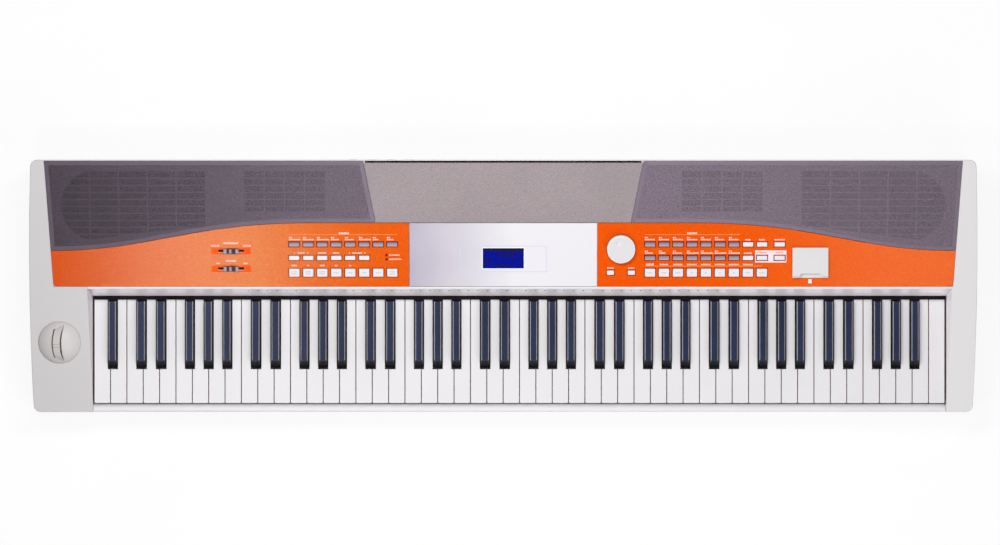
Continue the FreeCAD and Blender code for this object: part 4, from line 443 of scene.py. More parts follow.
def addWhiteKey(bm, index):
    front = frontY + keys["frontSet"]
    high = frontZ
    plate = prism(bm, whiteOutline(index, front, 0, keys["frontCorner"]), high - keys["lip"], high)
    easeEdges(bm, edgesOf(plate), keys["easeTop"])
    skirt = whiteOutline(index, front + keys["lipReach"], keys["skirtTuck"], keys["skirtCorner"])
    prism(bm, skirt, high - keys["height"], high - keys["lip"] + keys["skirtOver"])


def addBlackKey(bm, index):
    trim = keys["blackGap"] - keys["gap"] / 2
    left = keyTail(index, 1) + trim
    right = keyTail(index, 2) - trim
    front = frontY + keys["blackFront"]
    rear = frontY + keys["blackRear"]
    low = frontZ - keys["blackSkirt"]
    high = frontZ + keys["blackRise"]
    corner = keys["blackCorner"]
    nose = [(left, front + corner), (left + corner, front), (right - corner, front), (right, front + corner)]
    cap = prism(bm, nose + [(right, rear), (left, rear)], low, high)
    middle = (left + right) / 2
    for vert in cap:
        vert.co.x += keys["sideRun"] if vert.co.x < middle else -keys["sideRun"]
        if vert.co.y > rear - hair:
            vert.co.y -= keys["rearRun"]
        else:
            vert.co.y += keys["frontRun"]
    easeEdges(bm, edgesOf(cap), keys["easeBlack"], 3)
    prism(bm, nose + [(right, keyRear), (left, keyRear)], frontZ - keys["height"], low + keys["cheekOver"])


def hasBlack(index):
    return letters[index % 7] in "ACDFG" and index < keys["count"] - 1


# how far a normal has to turn for a side, a top or the eased edge between them
sideways, upright, edgeTurn, edgeRise = 0.9, 0.97, 0.2, 0.3
middleOctave = range(23, 30)
keySets = {"white_keys_low": range(middleOctave.start), "white_keys_high": range(middleOctave.stop, keys["count"])}
for index in middleOctave:
    keySets[f"key_{letters[index % 7].lower()}_four"] = [index]
for nodeName, indexes in keySets.items():
    bm = bmesh.new()
    for index in indexes:
        addWhiteKey(bm, index)
    bmesh.ops.recalc_face_normals(bm, faces=bm.faces)
    # the sides of the white keys take a darker, warmer tone: painted shade in the gaps between keys
    for face in bm.faces:
        face.material_index = 1 if abs(face.normal.x) > sideways else 0
    finishPiece("ivory." + nodeName, bm, nodeName, ["whiteKeyGloss", "whiteKeySide"], roomMatrix,
                [nodeName])
    blacks = [index for index in indexes if hasBlack(index)]
    if blacks:
        blackName = nodeName.replace("white", "black").replace("_four", "_sharp_four")
        bm = bmesh.new()
        for index in blacks:
            addBlackKey(bm, index)
        bmesh.ops.recalc_face_normals(bm, faces=bm.faces)
        # the eased edges of the black keys take a light grey, a painted highlight, and their sides a near black,
        # painted shade
        for face in bm.faces:
            side, rise = abs(face.normal.x), face.normal.z
            edge = side > edgeTurn and rise > edgeRise and abs(face.normal.y) < edgeRise
            face.material_index = 0 if rise > upright else 2 if edge else 1
        finishPiece("ebony." + blackName, bm, blackName, ["blackKeySatin", "blackKeySide", "blackKeyEdge"],
                    roomMatrix, [blackName])
print("keys made")

# button caps
buttons = dict(gap=0.8, line=0.45, pitch=20, wide=14.8, small=6.4, large=11.6, valueWide=10.2, rise=1.8, ease=0.7,
               flange=1.2, flangeMargin=1.6, flangeTop=-3.35, stem=4, stemLow=-7.5,
               leftFirst=-displayHalf - 24.35 - 140, rightFirst=displayHalf + 75.35,
               far=displayHalf + 75.35 + 160 + 25.2, value=displayHalf + 18.8, valuePitch=29.9,
               rowLow=plateFront + 20.5, rowMid=plateFront + 41.9, rowHigh=plateFront + 61.4)


def addButton(bm, frontShareSource, x, y, wide, deep):
    before = set(bm.verts)
    base = buttons["flangeTop"] - buttons["flange"] / 2
    cap = addBlock(bm, (x - wide / 2, y - deep / 2, base), (x + wide / 2, y + deep / 2, buttons["rise"]))
    easeAbove(bm, cap, 0, buttons["ease"])
    grow = buttons["flangeMargin"]
    addBlock(bm, (x - wide / 2 - grow, y - deep / 2 - grow, buttons["flangeTop"] - buttons["flange"]),
             (x + wide / 2 + grow, y + deep / 2 + grow, buttons["flangeTop"]))
    half = buttons["stem"] / 2
    addBlock(bm, (x - half, y - half, buttons["stemLow"]), (x + half, y + half, base))
    # the flange and stem take the dark orange: painted shade in the gap round each cap
    for vert in set(bm.verts) - before:
        vert[frontShareSource] = 0.5 + (y - vert.co.y) / deep
        for face in vert.link_faces:
            face.material_index = 1 if face.calc_center_median().z < buttons["flangeTop"] + hair else 0


def rows(first, numbers, deep, *places):
    return [(first + n * pitch, y, buttons["wide"], deep) for y in places for n in numbers]


pitch, small, large = buttons["pitch"], buttons["small"], buttons["large"]
lowRow, midRow, highRow = buttons["rowLow"], buttons["rowMid"], buttons["rowHigh"]
leftFirst, rightFirst, farButton = buttons["leftFirst"], buttons["rightFirst"], buttons["far"]
valuePlaces = [buttons["value"] + n * buttons["valuePitch"] for n in (0, 1)]
buttonSets = {
    "style_buttons": ("greyButton", rows(leftFirst, range(8), small, highRow)),
    "function_buttons": ("whiteButton", rows(leftFirst, range(6), small, midRow)),
    "pad_buttons": ("whiteButton", rows(leftFirst, range(8), large, lowRow)),
    "value_buttons": ("whiteButton", [(x, lowRow, buttons["valueWide"], small) for x in valuePlaces]),
    "voice_buttons": ("greyButton", rows(rightFirst, range(7), small, highRow, midRow)),
    "option_buttons": ("whiteButton", rows(rightFirst, (7, 8), small, highRow, midRow)
                       + rows(farButton, [0], small, highRow, midRow)),
    "recorder_buttons": ("whiteButton", rows(rightFirst, range(9), large, lowRow)),
}
for nodeName, (look, places) in buttonSets.items():
    bm = bmesh.new()
    frontShareSource = bm.verts.layers.float.new("frontShare")
    for place in places:
        addButton(bm, frontShareSource, *place)
    finishPiece("caps." + nodeName, bm, nodeName, [look, "gapShadeOrange"], topMatrix, [nodeName])

# painted shade: a dark orange line round the edge of each button hole
bm = bmesh.new()
for look, places in buttonSets.values():
    for x, y, wide, deep in places:
        halfX, halfY = wide / 2 + buttons["gap"], deep / 2 + buttons["gap"]
        addFrame(bm, x - halfX, x + halfX, y - halfY, y + halfY, buttons["line"], thin)
finishPrint("buttonHoleShadeLines", bm, "gapShadeOrange")
print("buttons made")

# data dial: turned, with a chamfered rim and a finger dimple pressed into its face; the chamfer takes a lighter tone,
# a painted highlight
dial = dict(x=168.2, y=plateFront + 55.4, radius=20.1, low=0.35, high=11.35, rim=1.7, rimDrop=0.9, rimSet=0.4,
            rimEdge=0.6, shaft=3.0, shaftLow=-11, dimple=5.0, dimpleDepth=1.2, dimpleSet=11.6, dimpleAngle=108,
            steps=120, rings=22, rimTurn=0.2, lineIn=1, lineOut=0.7, lineThick=0.06, lineSteps=96)
bm = bmesh.new()
radius, low, high = dial["radius"], dial["low"], dial["high"]
flatRadius, rimLow = radius - dial["rim"], high - dial["rimDrop"]
profile = [(high, flatRadius * n / dial["rings"]) for n in range(dial["rings"] + 1)]
profile += [(rimLow, radius - dial["rimSet"]), (rimLow - dial["rimEdge"], radius), (low, radius),
            (low, dial["shaft"]), (dial["shaftLow"], dial["shaft"]), (dial["shaftLow"], 0)]
turned(bm, profile, "Z", dial["steps"])
turn = radians(dial["dimpleAngle"])
centre = Vector((dial["dimpleSet"] * cos(turn), dial["dimpleSet"] * sin(turn), high))
for vert in bm.verts:
    far = (vert.co - centre).length / dial["dimple"]
    if far < 1 and vert.co.z > high - hair:
        vert.co.z -= dial["dimpleDepth"] * (1 - far * far)
bmesh.ops.recalc_face_normals(bm, faces=bm.faces)
for face in bm.faces:
    outside = face.calc_center_median().xy.length > flatRadius
    face.material_index = 1 if outside and face.normal.z > dial["rimTurn"] else 0
bmesh.ops.translate(bm, vec=(dial["x"], dial["y"], 0), verts=bm.verts)
finishPiece("dialKnob", bm, "data_dial", ["dialWhite", "dialRimHighlight"], topMatrix, ["data_dial"])

# the thin shadow line under the dial
bm = bmesh.new()
addRing(bm, dial["x"], dial["y"], radius - dial["lineIn"], radius + dial["lineOut"], 0, dial["lineThick"],
        dial["lineSteps"])
finishPrint("dialLine", bm, "gapShadeOrange")

# slider caps: raised ends, two valleys painted dark as shade and a pointer ridge between them
slider = dict(x=leftFirst - 90.25, length=21.6, wide=6.8, low=-0.85, high=5.5, end=4.6, valley=2.4, ridge=1.7,
              ridgeSet=-1.0, ridgeIn=0.2, ridgeDrop=0.4, ridgeEase=0.6, ease=0.8, floorOver=0.4, floorIn=0.1,
              lever=6, leverWide=1.6, leverLow=-9.8, leverOver=0.3,
              rows=dict(volume_slider=plateFront + 26.2, balance_slider=plateFront + 51.6))
for nodeName, y in slider["rows"].items():
    bm = bmesh.new()
    x, half, low, high = slider["x"], slider["wide"] / 2, slider["low"], slider["high"]
    outer = slider["length"] / 2
    inner = outer - slider["end"]
    valley = high - slider["valley"]
    for way in (-1, 1):
        end = addBlock(bm, (x + way * outer, y - half, low), (x + way * inner, y + half, high))
        easeAbove(bm, end, valley, slider["ease"])
    ridgeX, ridgeHalf = x + slider["ridgeSet"], half - slider["ridgeIn"]
    ridge = addBlock(bm, (ridgeX - slider["ridge"], y - ridgeHalf, low),
                     (ridgeX + slider["ridge"], y + ridgeHalf, high - slider["ridgeDrop"]))
    easeAbove(bm, ridge, valley, slider["ridgeEase"])
    addBlock(bm, (x - slider["lever"] / 2, y - slider["leverWide"] / 2, slider["leverLow"]),
             (x + slider["lever"] / 2, y + slider["leverWide"] / 2, low + slider["leverOver"]))
    before = set(bm.faces)
    reach, floorHalf = inner + slider["floorOver"], half - slider["floorIn"]
    addBlock(bm, (x - reach, y - floorHalf, low), (x + reach, y + floorHalf, valley))
    for face in set(bm.faces) - before:
        face.material_index = 1
    finishPiece("grip." + nodeName, bm, nodeName, ["sliderGrey", "sliderValleyShade"], topMatrix, [nodeName])

# the floor of each slider's dish, without the sheen of the panel, a painted highlight in front of its slot and
# painted shade along the slot
dish = dict(half=28.0, deep=4.2, floor=-1.2, slotHalf=18.4, slotDeep=1.3, edge=0.9, slotShadeIn=0.42, slotShadeOut=1.7)
dishFloors, slotHighlights, slotShade = bmesh.new(), bmesh.new(), bmesh.new()
for y in slider["rows"].values():
    x, low, high = slider["x"], dish["floor"], dish["floor"] + thin
    left, right, slotRear = x - dish["slotHalf"], x + dish["slotHalf"], y + dish["slotDeep"]
    slotFront = y - dish["slotDeep"]
    highlightFront = slotFront - dish["edge"]
    for way in (-1, 1):
        addBlock(dishFloors, (x + way * dish["half"], y - dish["deep"], low),
                 (x + way * dish["slotHalf"], y + dish["deep"], high))
        addBlock(slotShade, (left, y + way * dish["slotShadeOut"], high),
                 (right, y + way * (dish["slotDeep"] - dish["slotShadeIn"]), high + thin))
    addBlock(dishFloors, (left, slotRear, low), (right, y + dish["deep"], high))
    addBlock(dishFloors, (left, y - dish["deep"], low), (right, highlightFront, high))
    addBlock(slotHighlights, (left, highlightFront, low), (right, slotFront, high))
finishPrint("sliderDishes", dishFloors, "dishOrange")
# the pale print tone serves here as the painted highlight
finishPrint("sliderSlotHighlights", slotHighlights, "ink")
finishPrint("sliderSlotShade", slotShade, "blackCard")
print("dial and sliders made")

# bend wheel: a disc with a low flange on its left and two fine lines across its rim; the flange and sides are painted
# brown as shade in the gaps of the dome's slot
bend = dict(x=42.3 - 678, y=101.5, lift=0.1, lean=18, wheelX=4.0905, wheelZ=-7.124, radius=27.5, left=-4.5, right=6.1,
            ease=0.6, axle=2.5, axleHalf=9.2, flange=-6.4, flangeRadius=26.4, lineWide=0.6, lineRise=0.06,
            lineSink=0.5, lineAngles=(0.5, 8.6), steps=160, arcSteps=3, lipInner=29.6, lipOuter=31.0, lipLow=0.02,
            lipHigh=1.35, lipSteps=128, ringWide=0.6, ringSink=0.2)
bm = bmesh.new()
radius, ease = bend["radius"], bend["ease"]
profile = [(-bend["axleHalf"], 0), (-bend["axleHalf"], bend["axle"]), (bend["flange"], bend["axle"]),
           (bend["flange"], bend["flangeRadius"]), (bend["left"], bend["flangeRadius"])]
arc = [radians(90 * n / bend["arcSteps"]) for n in range(bend["arcSteps"] + 1)]
corner = [(ease * (1 - cos(turn)), radius - ease * (1 - sin(turn))) for turn in arc]
profile += [(bend["left"] + a, r) for a, r in corner] + [(bend["right"] - a, r) for a, r in corner[::-1]]
profile += [(bend["right"], bend["axle"]), (bend["axleHalf"], bend["axle"]), (bend["axleHalf"], 0)]
turned(bm, profile, "X", bend["steps"])
for face in bm.faces:
    middle = face.calc_center_median()
    rim = bend["left"] < middle.x < bend["right"] - hair and middle.yz.length > bend["flangeRadius"]
    face.material_index = 0 if rim else 1
for angle in bend["lineAngles"]:
    old = set(bm.faces)
    line = addBlock(bm, (bend["left"] + ease, -bend["lineWide"] / 2, radius - bend["lineSink"]),
                    (bend["right"] - 2 * ease, bend["lineWide"] / 2, radius + bend["lineRise"]))
    bmesh.ops.rotate(bm, cent=(0, 0, 0), matrix=Matrix.Rotation(radians(angle), 3, "X"), verts=line)
    for face in set(bm.faces) - old:
        face.material_index = 2
wheelMatrix = (topMatrix @ Matrix.Translation((bend["x"] + bend["wheelX"], bend["y"], bend["lift"] + bend["wheelZ"]))
               @ Matrix.Rotation(radians(-bend["lean"]), 4, "Y"))
finishPiece("bendWheel", bm, "pitch_bend_wheel", ["domeWhite", "wheelGapShade", "brownInkAndShadow"], wheelMatrix,
            ["pitch_bend_wheel"])

# a low lip round the dome, with a thin shadow line on its inner edge
bm = bmesh.new()
turned(bm, [(bend["lipLow"], bend["lipInner"]), (bend["lipHigh"], bend["lipInner"]),
            (bend["lipLow"], bend["lipOuter"]), (bend["lipLow"], bend["lipInner"])], "Z", bend["lipSteps"])
bmesh.ops.translate(bm, vec=(bend["x"], bend["y"], 0), verts=bm.verts)
finishPiece("domeLip", bm, "case", ["shellWhite"], topMatrix)
bm = bmesh.new()
addRing(bm, bend["x"], bend["y"], bend["lipInner"], bend["lipInner"] + bend["ringWide"],
        bend["lipHigh"] - bend["ringSink"], bend["lipHigh"] + thin, bend["lipSteps"])
finishPrint("domeLine", bm, "domeRing")
print("bend wheel made")

# pale edge of each grille, beside the deck
edge = dict(deckFront=182.3, deckRear=200, wide=5.5, inset=1.0, endIn=1.5, lift=0.02)
bm = bmesh.new()
for way in (-1, 1):
    low, high = upperFront + edge["endIn"], plateRear - edge["endIn"]
    strip = addBlock(bm, (0, low, edge["lift"]), (edge["wide"], high, edge["lift"] + thin))
    lean = edge["deckRear"] - edge["deckFront"]
    for vert in strip:
        share = (vert.co.y - upperFront) / (plateRear - upperFront)
        vert.co.x = way * (vert.co.x + edge["deckFront"] + edge["inset"] + lean * share)
finishPrint("grilleEdges", bm, "grilleEdgeGrey")

# the bright rim in front of the plates, and a black strip in the music rest slot, painted shade
rim = dict(half=594, front=2.7, rear=0.4)
bm = bmesh.new()
addBlock(bm, (-rim["half"], plateFront - rim["front"], 0), (rim["half"], plateFront - rim["rear"], thin))
finishPrint("rimLine", bm, "slipWhite")
restSlot = dict(half=194, front=3.1, rear=0.1, low=-5.3, high=-5.2)
bm = bmesh.new()
addBlock(bm, (-restSlot["half"], plateRear - restSlot["front"], restSlot["low"]),
         (restSlot["half"], plateRear - restSlot["rear"], restSlot["high"]))
finishPrint("restSlotShade", bm, "blackCard")

# printed lines, boxes and plain rows of dashes lie on the plates
ink = dict(thick=0.06, line=1.0, lineStart=7.4, headerRise=14.1, headerWord=14.6, headerTall=3.0, headerOver=1.9,
           numberRise=9.7, numberTall=1.7, wordRise=6.9, wordTall=2.0, lowRise=9.5, padRise=10.3, padTall=2.2,
           capTall=1.6, capRow=1.5, dash=1.25, dashGap=0.4, dashDrop=0.22)


def addInk(bm, left, right, front, rear, lift=0.0):
    addBlock(bm, (left, front, lift), (right, rear, lift + ink["thick"]))


def addWord(bm, left, wide, y, tall, lift=0.0):
    # a row of dashes
    count = max(1, round(wide / (ink["dash"] + ink["dashGap"])))
    step = wide / count
    for n in range(count):
        shorter = ink["dashDrop"] * tall if n % 3 == 1 else 0.0
        start = left + n * step
        addInk(bm, start, start + step - ink["dashGap"], y - tall / 2, y + tall / 2 - shorter, lift)


def addMidWord(bm, x, wide, y, tall, lift=0.0):
    addWord(bm, x - wide / 2, wide, y, tall, lift)


headerY, lowLine = highRow + ink["headerRise"], lowRow + ink["lowRise"]
ticks = dict(count=9, pitch=4.2, half=0.3, front=6.4, rear=7.4)
frontEdgeHighlight = dict(left=-575, right=-300, front=2.2, rear=2.8)
bm = bmesh.new()
for first, steps, past, y in ((leftFirst, 7, 7.8, headerY), (rightFirst, 6, 8.6, headerY),
                              (rightFirst, 8, 0.6, lowLine)):
    addInk(bm, first - ink["lineStart"], first + steps * pitch + past, y - ink["line"] / 2, y + ink["line"] / 2)
for y in slider["rows"].values():
    for n in range(ticks["count"]):
        x = slider["x"] + (n - ticks["count"] // 2) * ticks["pitch"]
        addInk(bm, x - ticks["half"], x + ticks["half"], y + ticks["front"], y + ticks["rear"])
# a painted highlight along the rounded front edge of the left panel
addInk(bm, frontEdgeHighlight["left"], frontEdgeHighlight["right"], plateFront + frontEdgeHighlight["front"], plateFront + frontEdgeHighlight["rear"])
finishPrint("panelLines", bm, "faintInkAndHighlight")

# each row of numbered words: first button, row, width of a number, widths of the words
numbered = ((leftFirst, highRow, 4.6, (16.5, 15.6, 17.4, 11.3, 13.1, 17.0, 8.2, 9.5)),
            (rightFirst, highRow, 4.4, (14.5, 14.8, 14.6, 15.0, 14.2, 13.6, 14.0)),
            (rightFirst, midRow, 4.4, (11.5, 9.5, 13.0, 17.2, 17.8, 16.6, 16.0)))
bm = bmesh.new()
for first, y, numberWide, widths in numbered:
    for n, wide in enumerate(widths):
        left = first + n * pitch - buttons["wide"] / 2
        addWord(bm, left, numberWide, y + ink["numberRise"], ink["numberTall"])
        addWord(bm, left, wide, y + ink["wordRise"], ink["wordTall"])
lampWords = dict(left=-162.9, tall=1.9, rows=((45.9, 15.0), (39.9, 18.0)))
for rise, wide in lampWords["rows"]:
    addWord(bm, lampWords["left"], wide, plateFront + rise, lampWords["tall"])

# words set about a middle: x, width, y, height
functionWords = dict(rise=7.0, words=((10, 9.9), (40, 11.6), (60, 9.3), (90, 14.4), (0.4, 1.4), (19.6, 1.8),
                                      (79, 1.4), (101, 1.6)))
optionWords = dict(rise=6.7, words=((rightFirst + 7 * pitch, highRow, 8.0), (rightFirst + 8 * pitch, highRow, 8.3),
                                    (farButton, highRow, 14.8), (rightFirst + 7 * pitch, midRow, 11.3)))
valueWords = dict(rise=6.7, wide=9.3, tall=1.9)
lowWords = dict(rise=11.7, tall=2.1, widths=(10.8, 12.0, 13.4, 14.2, 14.2, 14.2, 14.2, 14.2))
middleWords = [(x, ink["headerWord"], headerY + ink["headerOver"], ink["headerTall"]) for x in (-227.7, 269.8)]
middleWords += [(leftFirst + x, wide, midRow + functionWords["rise"], ink["wordTall"])
                for x, wide in functionWords["words"]]
middleWords += [(leftFirst + n * pitch, wide, lowRow + ink["padRise"], ink["padTall"])
                for n, wide in enumerate((7.6, 3.1, 6.8, 4.2, 3.9))]
middleWords += [(x, wide, y + optionWords["rise"], ink["wordTall"]) for x, y, wide in optionWords["words"]]
middleWords += [(rightFirst + n * pitch, wide, lowRow + lowWords["rise"],
                 lowWords["tall"] if n else ink["headerTall"]) for n, wide in enumerate(lowWords["widths"])]
middleWords += [(x, valueWords["wide"], lowRow + valueWords["rise"], valueWords["tall"]) for x in valuePlaces]
sliderWords = dict(rise=11.3, tall=2.5, endRise=7.8, endTall=1.9,
                   balance_slider=(21.0, ((-28.6, 12.0), (17.6, 11.0))),
                   volume_slider=(14.6, ((-21.0, 5.0), (18.0, 5.8))))
for name, y in slider["rows"].items():
    wide, ends = sliderWords[name]
    middleWords.append((slider["x"], wide, y + sliderWords["rise"], sliderWords["tall"]))
    for left, wide in ends:
        addWord(bm, slider["x"] + left, wide, y + sliderWords["endRise"], sliderWords["endTall"])
for word in middleWords:
    addMidWord(bm, *word)
finishPrint("panelWords", bm, "ink")

# words on the caps: first button, widths, caps with two rows
capWords = dict(pad_buttons=(leftFirst, (8.4, 7.4, 9.0, 8.6, 7.6, 7.2, 7.2, 7.8), (0, 1, 2, 7)),
                recorder_buttons=(rightFirst, (7.6, 7.4, 8.4, 3.4, 3.4, 3.4, 3.4, 6.8, 7.8), ()))
for nodeName, (first, widths, doubles) in capWords.items():
    bm = bmesh.new()
    for n, wide in enumerate(widths):
        for rise in (ink["capRow"], -ink["capRow"]) if n in doubles else (0,):
            addMidWord(bm, first + n * pitch, wide, lowRow + rise, ink["capTall"], buttons["rise"])
    finishPrint("print." + nodeName, bm, "greyInk", nodeName)

# pale box round two of the option buttons, open round each of them, with a word behind each
box = dict(left=360.0, right=404.6, front=217.3, rear=234.9, margin=1.35, marginDeep=1.5, words=(13.4, 11.0))
bm = bmesh.new()
halfWindow = buttons["wide"] / 2 + box["margin"]
centres = (rightFirst + 8 * pitch, farButton)
frontGap, rearGap = midRow - small / 2 - box["marginDeep"], midRow + small / 2 + box["marginDeep"]
addInk(bm, box["left"], box["right"], box["front"], frontGap)
addInk(bm, box["left"], box["right"], rearGap, box["rear"])
for left, right in ((box["left"], centres[0] - halfWindow), (centres[0] + halfWindow, centres[1] - halfWindow),
                    (centres[1] + halfWindow, box["right"])):
    addInk(bm, left, right, frontGap, rearGap)
finishPrint("optionBox", bm, "paleInk")
bm = bmesh.new()
for x, wide in zip(centres, box["words"]):
    addMidWord(bm, x, wide, (rearGap + box["rear"]) / 2, ink["wordTall"], ink["thick"])
finishPrint("optionWords", bm, "faintInkAndHighlight")

# thin frame round the display
screenFrame = dict(left=-62.7, right=62.3, front=203.4, rear=241.6, line=0.9)
left, right, front, rear, line = screenFrame.values()
bm = bmesh.new()
addInk(bm, left, right, front, front + line)
addInk(bm, left, right, rear - line, rear)
addInk(bm, left, left + line, front, rear)
addInk(bm, right - line, right, front, rear)
finishPrint("displayFrameLine", bm, "blueInk")

# dark rows on the display, painted shade along its rear and left edges, and a painted highlight on the bevel round
# its opening
screen = dict(half=29.35, deep=29.3, y=plateFront + 41.1, glass=-3.1, edge=1.2, rearGap=0.1, rearShade=3.2,
              sideShade=2.0, halfShade=1.6)
# left, right, middle and height of each row, from the middle of the glass
glassRows = ((-15.2, 22.2, 9.1, 1.2), (-6.4, 0.2, 4.7, 4.0), (4.1, 11.8, 4.7, 4.0), (12.9, 15.6, 4.7, 4.0),
             (20.5, 22.7, 4.7, 3.2), (-26, 26, 1.8, 0.5), (-25.6, -22.3, -0.3, 3.0), (-26.1, -15.7, -5.7, 2.6),
             (17.3, 24.9, -5.7, 2.6), (-10.8, 10.1, -11.4, 3.0))


def addGlassMark(bm, left, right, front, rear):
    addBlock(bm, (left, front, screen["glass"]), (right, rear, screen["glass"] + thin))


bm = bmesh.new()
for left, right, middle, tall in glassRows:
    addGlassMark(bm, left, right, screen["y"] + middle - tall / 2, screen["y"] + middle + tall / 2)
finishPrint("displayRows", bm, "screenRowNavy")
half, front, rear = screen["half"], screen["y"] - screen["deep"] / 2, screen["y"] + screen["deep"] / 2
shadeFront = rear - screen["rearShade"]
halfFront = shadeFront - screen["halfShade"]
bm = bmesh.new()
addGlassMark(bm, -half, half, shadeFront, rear - screen["rearGap"])
finishPrint("displayShade", bm, "screenShadowNavy")
bm = bmesh.new()
addGlassMark(bm, -half, half, halfFront, shadeFront)
addGlassMark(bm, -half, screen["sideShade"] - half, front, halfFront)
finishPrint("displayHalfShade", bm, "halfShadeInk")
bm = bmesh.new()
addFrame(bm, -half, half, front, rear, screen["edge"], ink["thick"])
finishPrint("displayEdge", bm, "whiteLampAndBevelHighlight")

# painted scoop shadow, and a painted pink reflection of the panel at the front corners of the card cover
card = dict(x=438.7, front=plateFront + 14.2, half=25.3, scoopHalf=12.8, scoopRear=plateFront + 20.4, lipTop=1.7,
            shadow=1.6, rise=8.0, cornerIn=17.4, cornerOut=0.4, cornerFront=0.5, cornerDeep=2.2, cornerRise=0.03)
bm = bmesh.new()
addBlock(bm, (card["x"] - card["scoopHalf"], card["scoopRear"] - card["shadow"], card["lipTop"]),
         (card["x"] + card["scoopHalf"], card["scoopRear"], card["lipTop"] + thin))
finishPrint("coverScoopShadow", bm, "brownInkAndShadow", "card_cover")
bm = bmesh.new()
for way in (-1, 1):
    outer = card["x"] + way * (card["half"] - card["cornerOut"])
    addBlock(bm, (card["x"] + way * card["cornerIn"], card["front"] + card["cornerFront"], card["rise"] - thin),
             (outer, card["front"] + card["cornerDeep"], card["rise"] + card["cornerRise"]))
finishPrint("coverCornerReflections", bm, "coverReflectionPink", "card_cover")

# a glossy near-white sheet on the rear wall of the key well, brightened as painted light, and small marks on the
# wall; heights are shares of the wall
well = dict(left=-588.5, right=635.1, lineLow=0.02, lineHigh=0.97, sheetLift=0.08, sheetThick=0.06, wallY=-13.52,
            wallZ=77.5, run=10, rise=24.53)
wellSide = dict(x=613, middle=23.3, run=6, front=-156, low=0.01)
wellMarks = dict(low=0.68, high=0.8, first=-365, last=345, pitch=13.7, halves=(0.8, 1.2), lift=0.14)


def addWallStrip(bm, left, right, low, high, lift, thick):
    # a thin sheet on the leaning wall
    corners = []
    for share in (low, high):
        y = well["wallY"] + well["run"] * share - lift
        z = well["wallZ"] + well["rise"] * share
        corners += [(left, y, z), (right, y, z)]
    face = bm.faces.new([bm.verts.new(corners[k]) for k in (0, 1, 3, 2)])
    thicken(bm, face, (0, thick, 0))


bm = bmesh.new()
addWallStrip(bm, well["left"], well["right"], well["lineLow"], well["lineHigh"], well["sheetLift"],
             well["sheetThick"])
finishPrint("wellPaintedLightSheet", bm, "wellGlossAndPaintedLight", matrix=roomMatrix)

# the side walls of the key well lean out to meet the rear wall; painted light: they take a light tone, lighter at the
# right wall than at the left
bm = bmesh.new()
for way in (-1, 1):
    corners = []
    for y, share in ((wellSide["front"], wellSide["low"]), (well["wallY"], wellSide["low"]),
                     (well["wallY"] + well["run"] * well["lineHigh"], well["lineHigh"])):
        x = wellSide["x"] + way * wellSide["middle"] + wellSide["run"] * share - well["sheetLift"]
        corners.append(bm.verts.new((way * x, y, well["wallZ"] + well["rise"] * share)))
    thicken(bm, bm.faces.new(corners), (way * well["sheetThick"], 0, 0))
finishPrint("wellSides", bm, "wellSide", matrix=roomMatrix)

bm = bmesh.new()
for n in range(int((wellMarks["last"] - wellMarks["first"]) / wellMarks["pitch"])):
    x, half = wellMarks["first"] + n * wellMarks["pitch"], wellMarks["halves"][n % 2]
    addWallStrip(bm, x - half, x + half, wellMarks["low"], wellMarks["high"], wellMarks["lift"], thin)
finishPrint("wellMarks", bm, "mauveInk", matrix=roomMatrix)

# dark cards behind the lattice, in the gap over the bed: painted shade in the depth of the grille cells, darker
# towards the left end
cellShades = dict(low=-2.97, high=-2.93, cards=(("grilleCellShade", "cellShadeCard", 420, 640, 246, 354),
                                             ("smallCellShade", "cellShadeGrey", 250, 375, 286, 354)))
for name, look, left, right, front, rear in cellShades["cards"]:
    bm = bmesh.new()
    for way in (-1, 1):
        addBlock(bm, (way * left, front, cellShades["low"]), (way * right, rear, cellShades["high"]))
    finishPrint(name, bm, look)
print("prints and screen made")

# ring nuts of the four jacks
nuts = dict(first=-215.5, pitch=27, count=4, z=68, y=180.45, inner=3.4, outer=7.2, thick=1.6, ease=0.4, steps=48)
bm = bmesh.new()
for n in range(nuts["count"]):
    before = set(bm.verts)
    turned(bm, [(0, nuts["inner"]), (0, nuts["outer"]), (nuts["thick"] - nuts["ease"], nuts["outer"]),
                (nuts["thick"], nuts["outer"] - nuts["ease"]), (nuts["thick"], nuts["inner"]), (0, nuts["inner"])],
           "Z", nuts["steps"])
    made = [vert for vert in bm.verts if vert not in before]
    bmesh.ops.rotate(bm, cent=(0, 0, 0), matrix=Matrix.Rotation(radians(-90), 3, "X"), verts=made)
    bmesh.ops.translate(bm, vec=(nuts["first"] + n * nuts["pitch"], nuts["y"], nuts["z"]), verts=made)
finishPiece("jackNuts", bm, "case", ["drawnSteel"], roomMatrix)
print("jack nuts made")

for nodeName, width in (("card_cover", 0.7), ("key_slip", 0.4), ("display_panel", 0.4), ("rear_deck", 0.4),
                        ("power_button", 0.5), ("jack_plate", 0.3)):
    soften(nodeName, width)

# floor, light and camera
studio = dict(world=0.34, whiteShare=0.86, floorHalf=6, floorRough=0.9)


def seenRays(tree):
    # the rays that show the background: straight to it, or by way of a reflection or a clear piece
    rays = addNode(tree, "LightPath").outputs
    mirrored = reckon(tree, "MAXIMUM", rays["Is Glossy Ray"], rays["Is Transmission Ray"])
    return reckon(tree, "MAXIMUM", rays["Is Camera Ray"], mirrored)


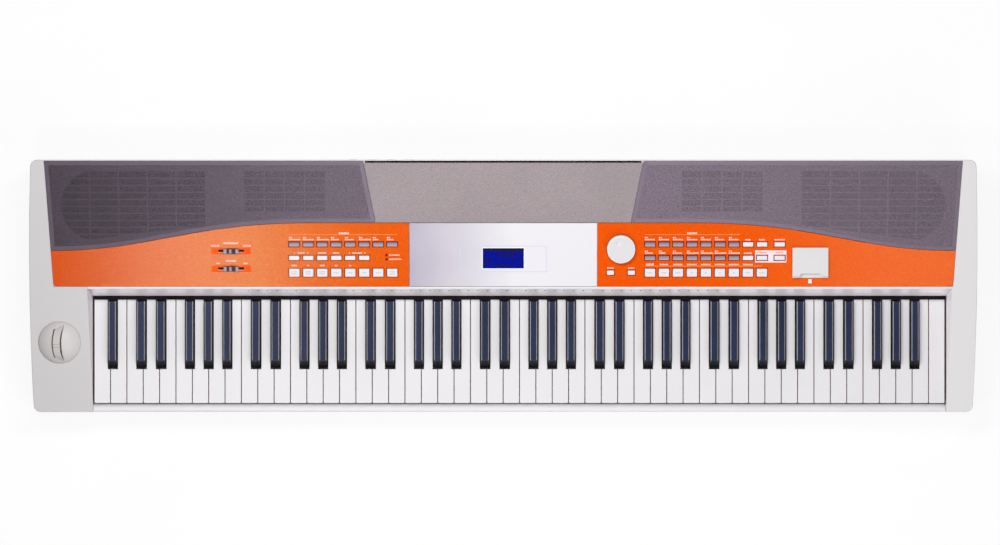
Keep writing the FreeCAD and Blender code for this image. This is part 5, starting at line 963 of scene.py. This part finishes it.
bm = bmesh.new()
bmesh.ops.create_grid(bm, x_segments=1, y_segments=1, size=studio["floorHalf"])
floorData = bpy.data.meshes.new("floor")
bm.to_mesh(floorData)
bm.free()
floor = bpy.data.objects.new("floor", floorData)
scene.collection.objects.link(floor)
tree = newFinish("paleFloor")
feed(tree, "Roughness", studio["floorRough"])
feed(tree, "Base Color", toneOf(tree, ("F4F4F4", "FFFFFF"), scale=scales["floor"]))
glow = addNode(tree, "Emission")
blend = addNode(tree, "MixShader", Fac=reckon(tree, "MULTIPLY", seenRays(tree), studio["whiteShare"]))
tree.links.new(tree.nodes["Principled BSDF"].outputs["BSDF"], blend.inputs[1])
tree.links.new(glow.outputs["Emission"], blend.inputs[2])
tree.links.new(blend.outputs["Shader"], tree.nodes["Material Output"].inputs["Surface"])
floorData.materials.append(finishes["paleFloor"])

world = bpy.data.worlds.new("studio")
world.use_nodes = True
scene.world = world
tree = world.node_tree
sky = tree.nodes["Background"]
sky.inputs["Color"].default_value = (1, 1, 1, 1)
tree.links.new(spread(tree, seenRays(tree), studio["world"], 1.0), sky.inputs["Strength"])

lamps = {
    "sheenSoftbox": dict(place=(-0.58, -0.74, 2.5), aim=(-0.4, 0.0, 0.1), size=0.36, power=11),
    "smallSoftbox": dict(place=(0.8, -0.74, 2.5), aim=(0.6, 0.0, 0.1), size=0.36, power=3),
    "keySoftbox": dict(place=(-0.2, 0.5, 1.6), aim=(0.0, 0.0, 0.1), size=1.3, deep=0.22, power=14.3),
    "frontSoftbox": dict(place=(1.2, -1.6, 1.9), aim=(0.3, 0.0, 0.1), size=1.6, power=16),
}
for name, lamp in lamps.items():
    light = bpy.data.lights.new(name, "AREA")
    light.shape = "ELLIPSE"
    light.size, light.size_y = lamp["size"], lamp.get("deep", lamp["size"])
    light.energy = lamp["power"]
    holder = bpy.data.objects.new(name, light)
    holder.location = lamp["place"]
    holder.rotation_euler = (Vector(lamp["aim"]) - Vector(lamp["place"])).to_track_quat("-Z", "Y").to_euler()
    scene.collection.objects.link(holder)

viewer = dict(place=(-0.0047, 0.01985, 7.2), lens=178.6, sensor=36, far=50)
camera = bpy.data.cameras.new("camera")
camera.sensor_width, camera.lens, camera.clip_end = viewer["sensor"], viewer["lens"], viewer["far"]
cameraHolder = bpy.data.objects.new("camera", camera)
cameraHolder.location = viewer["place"]
scene.collection.objects.link(cameraHolder)
scene.camera = cameraHolder
scene.view_settings.view_transform = "Standard"
print("studio set")

bpy.context.view_layer.update()
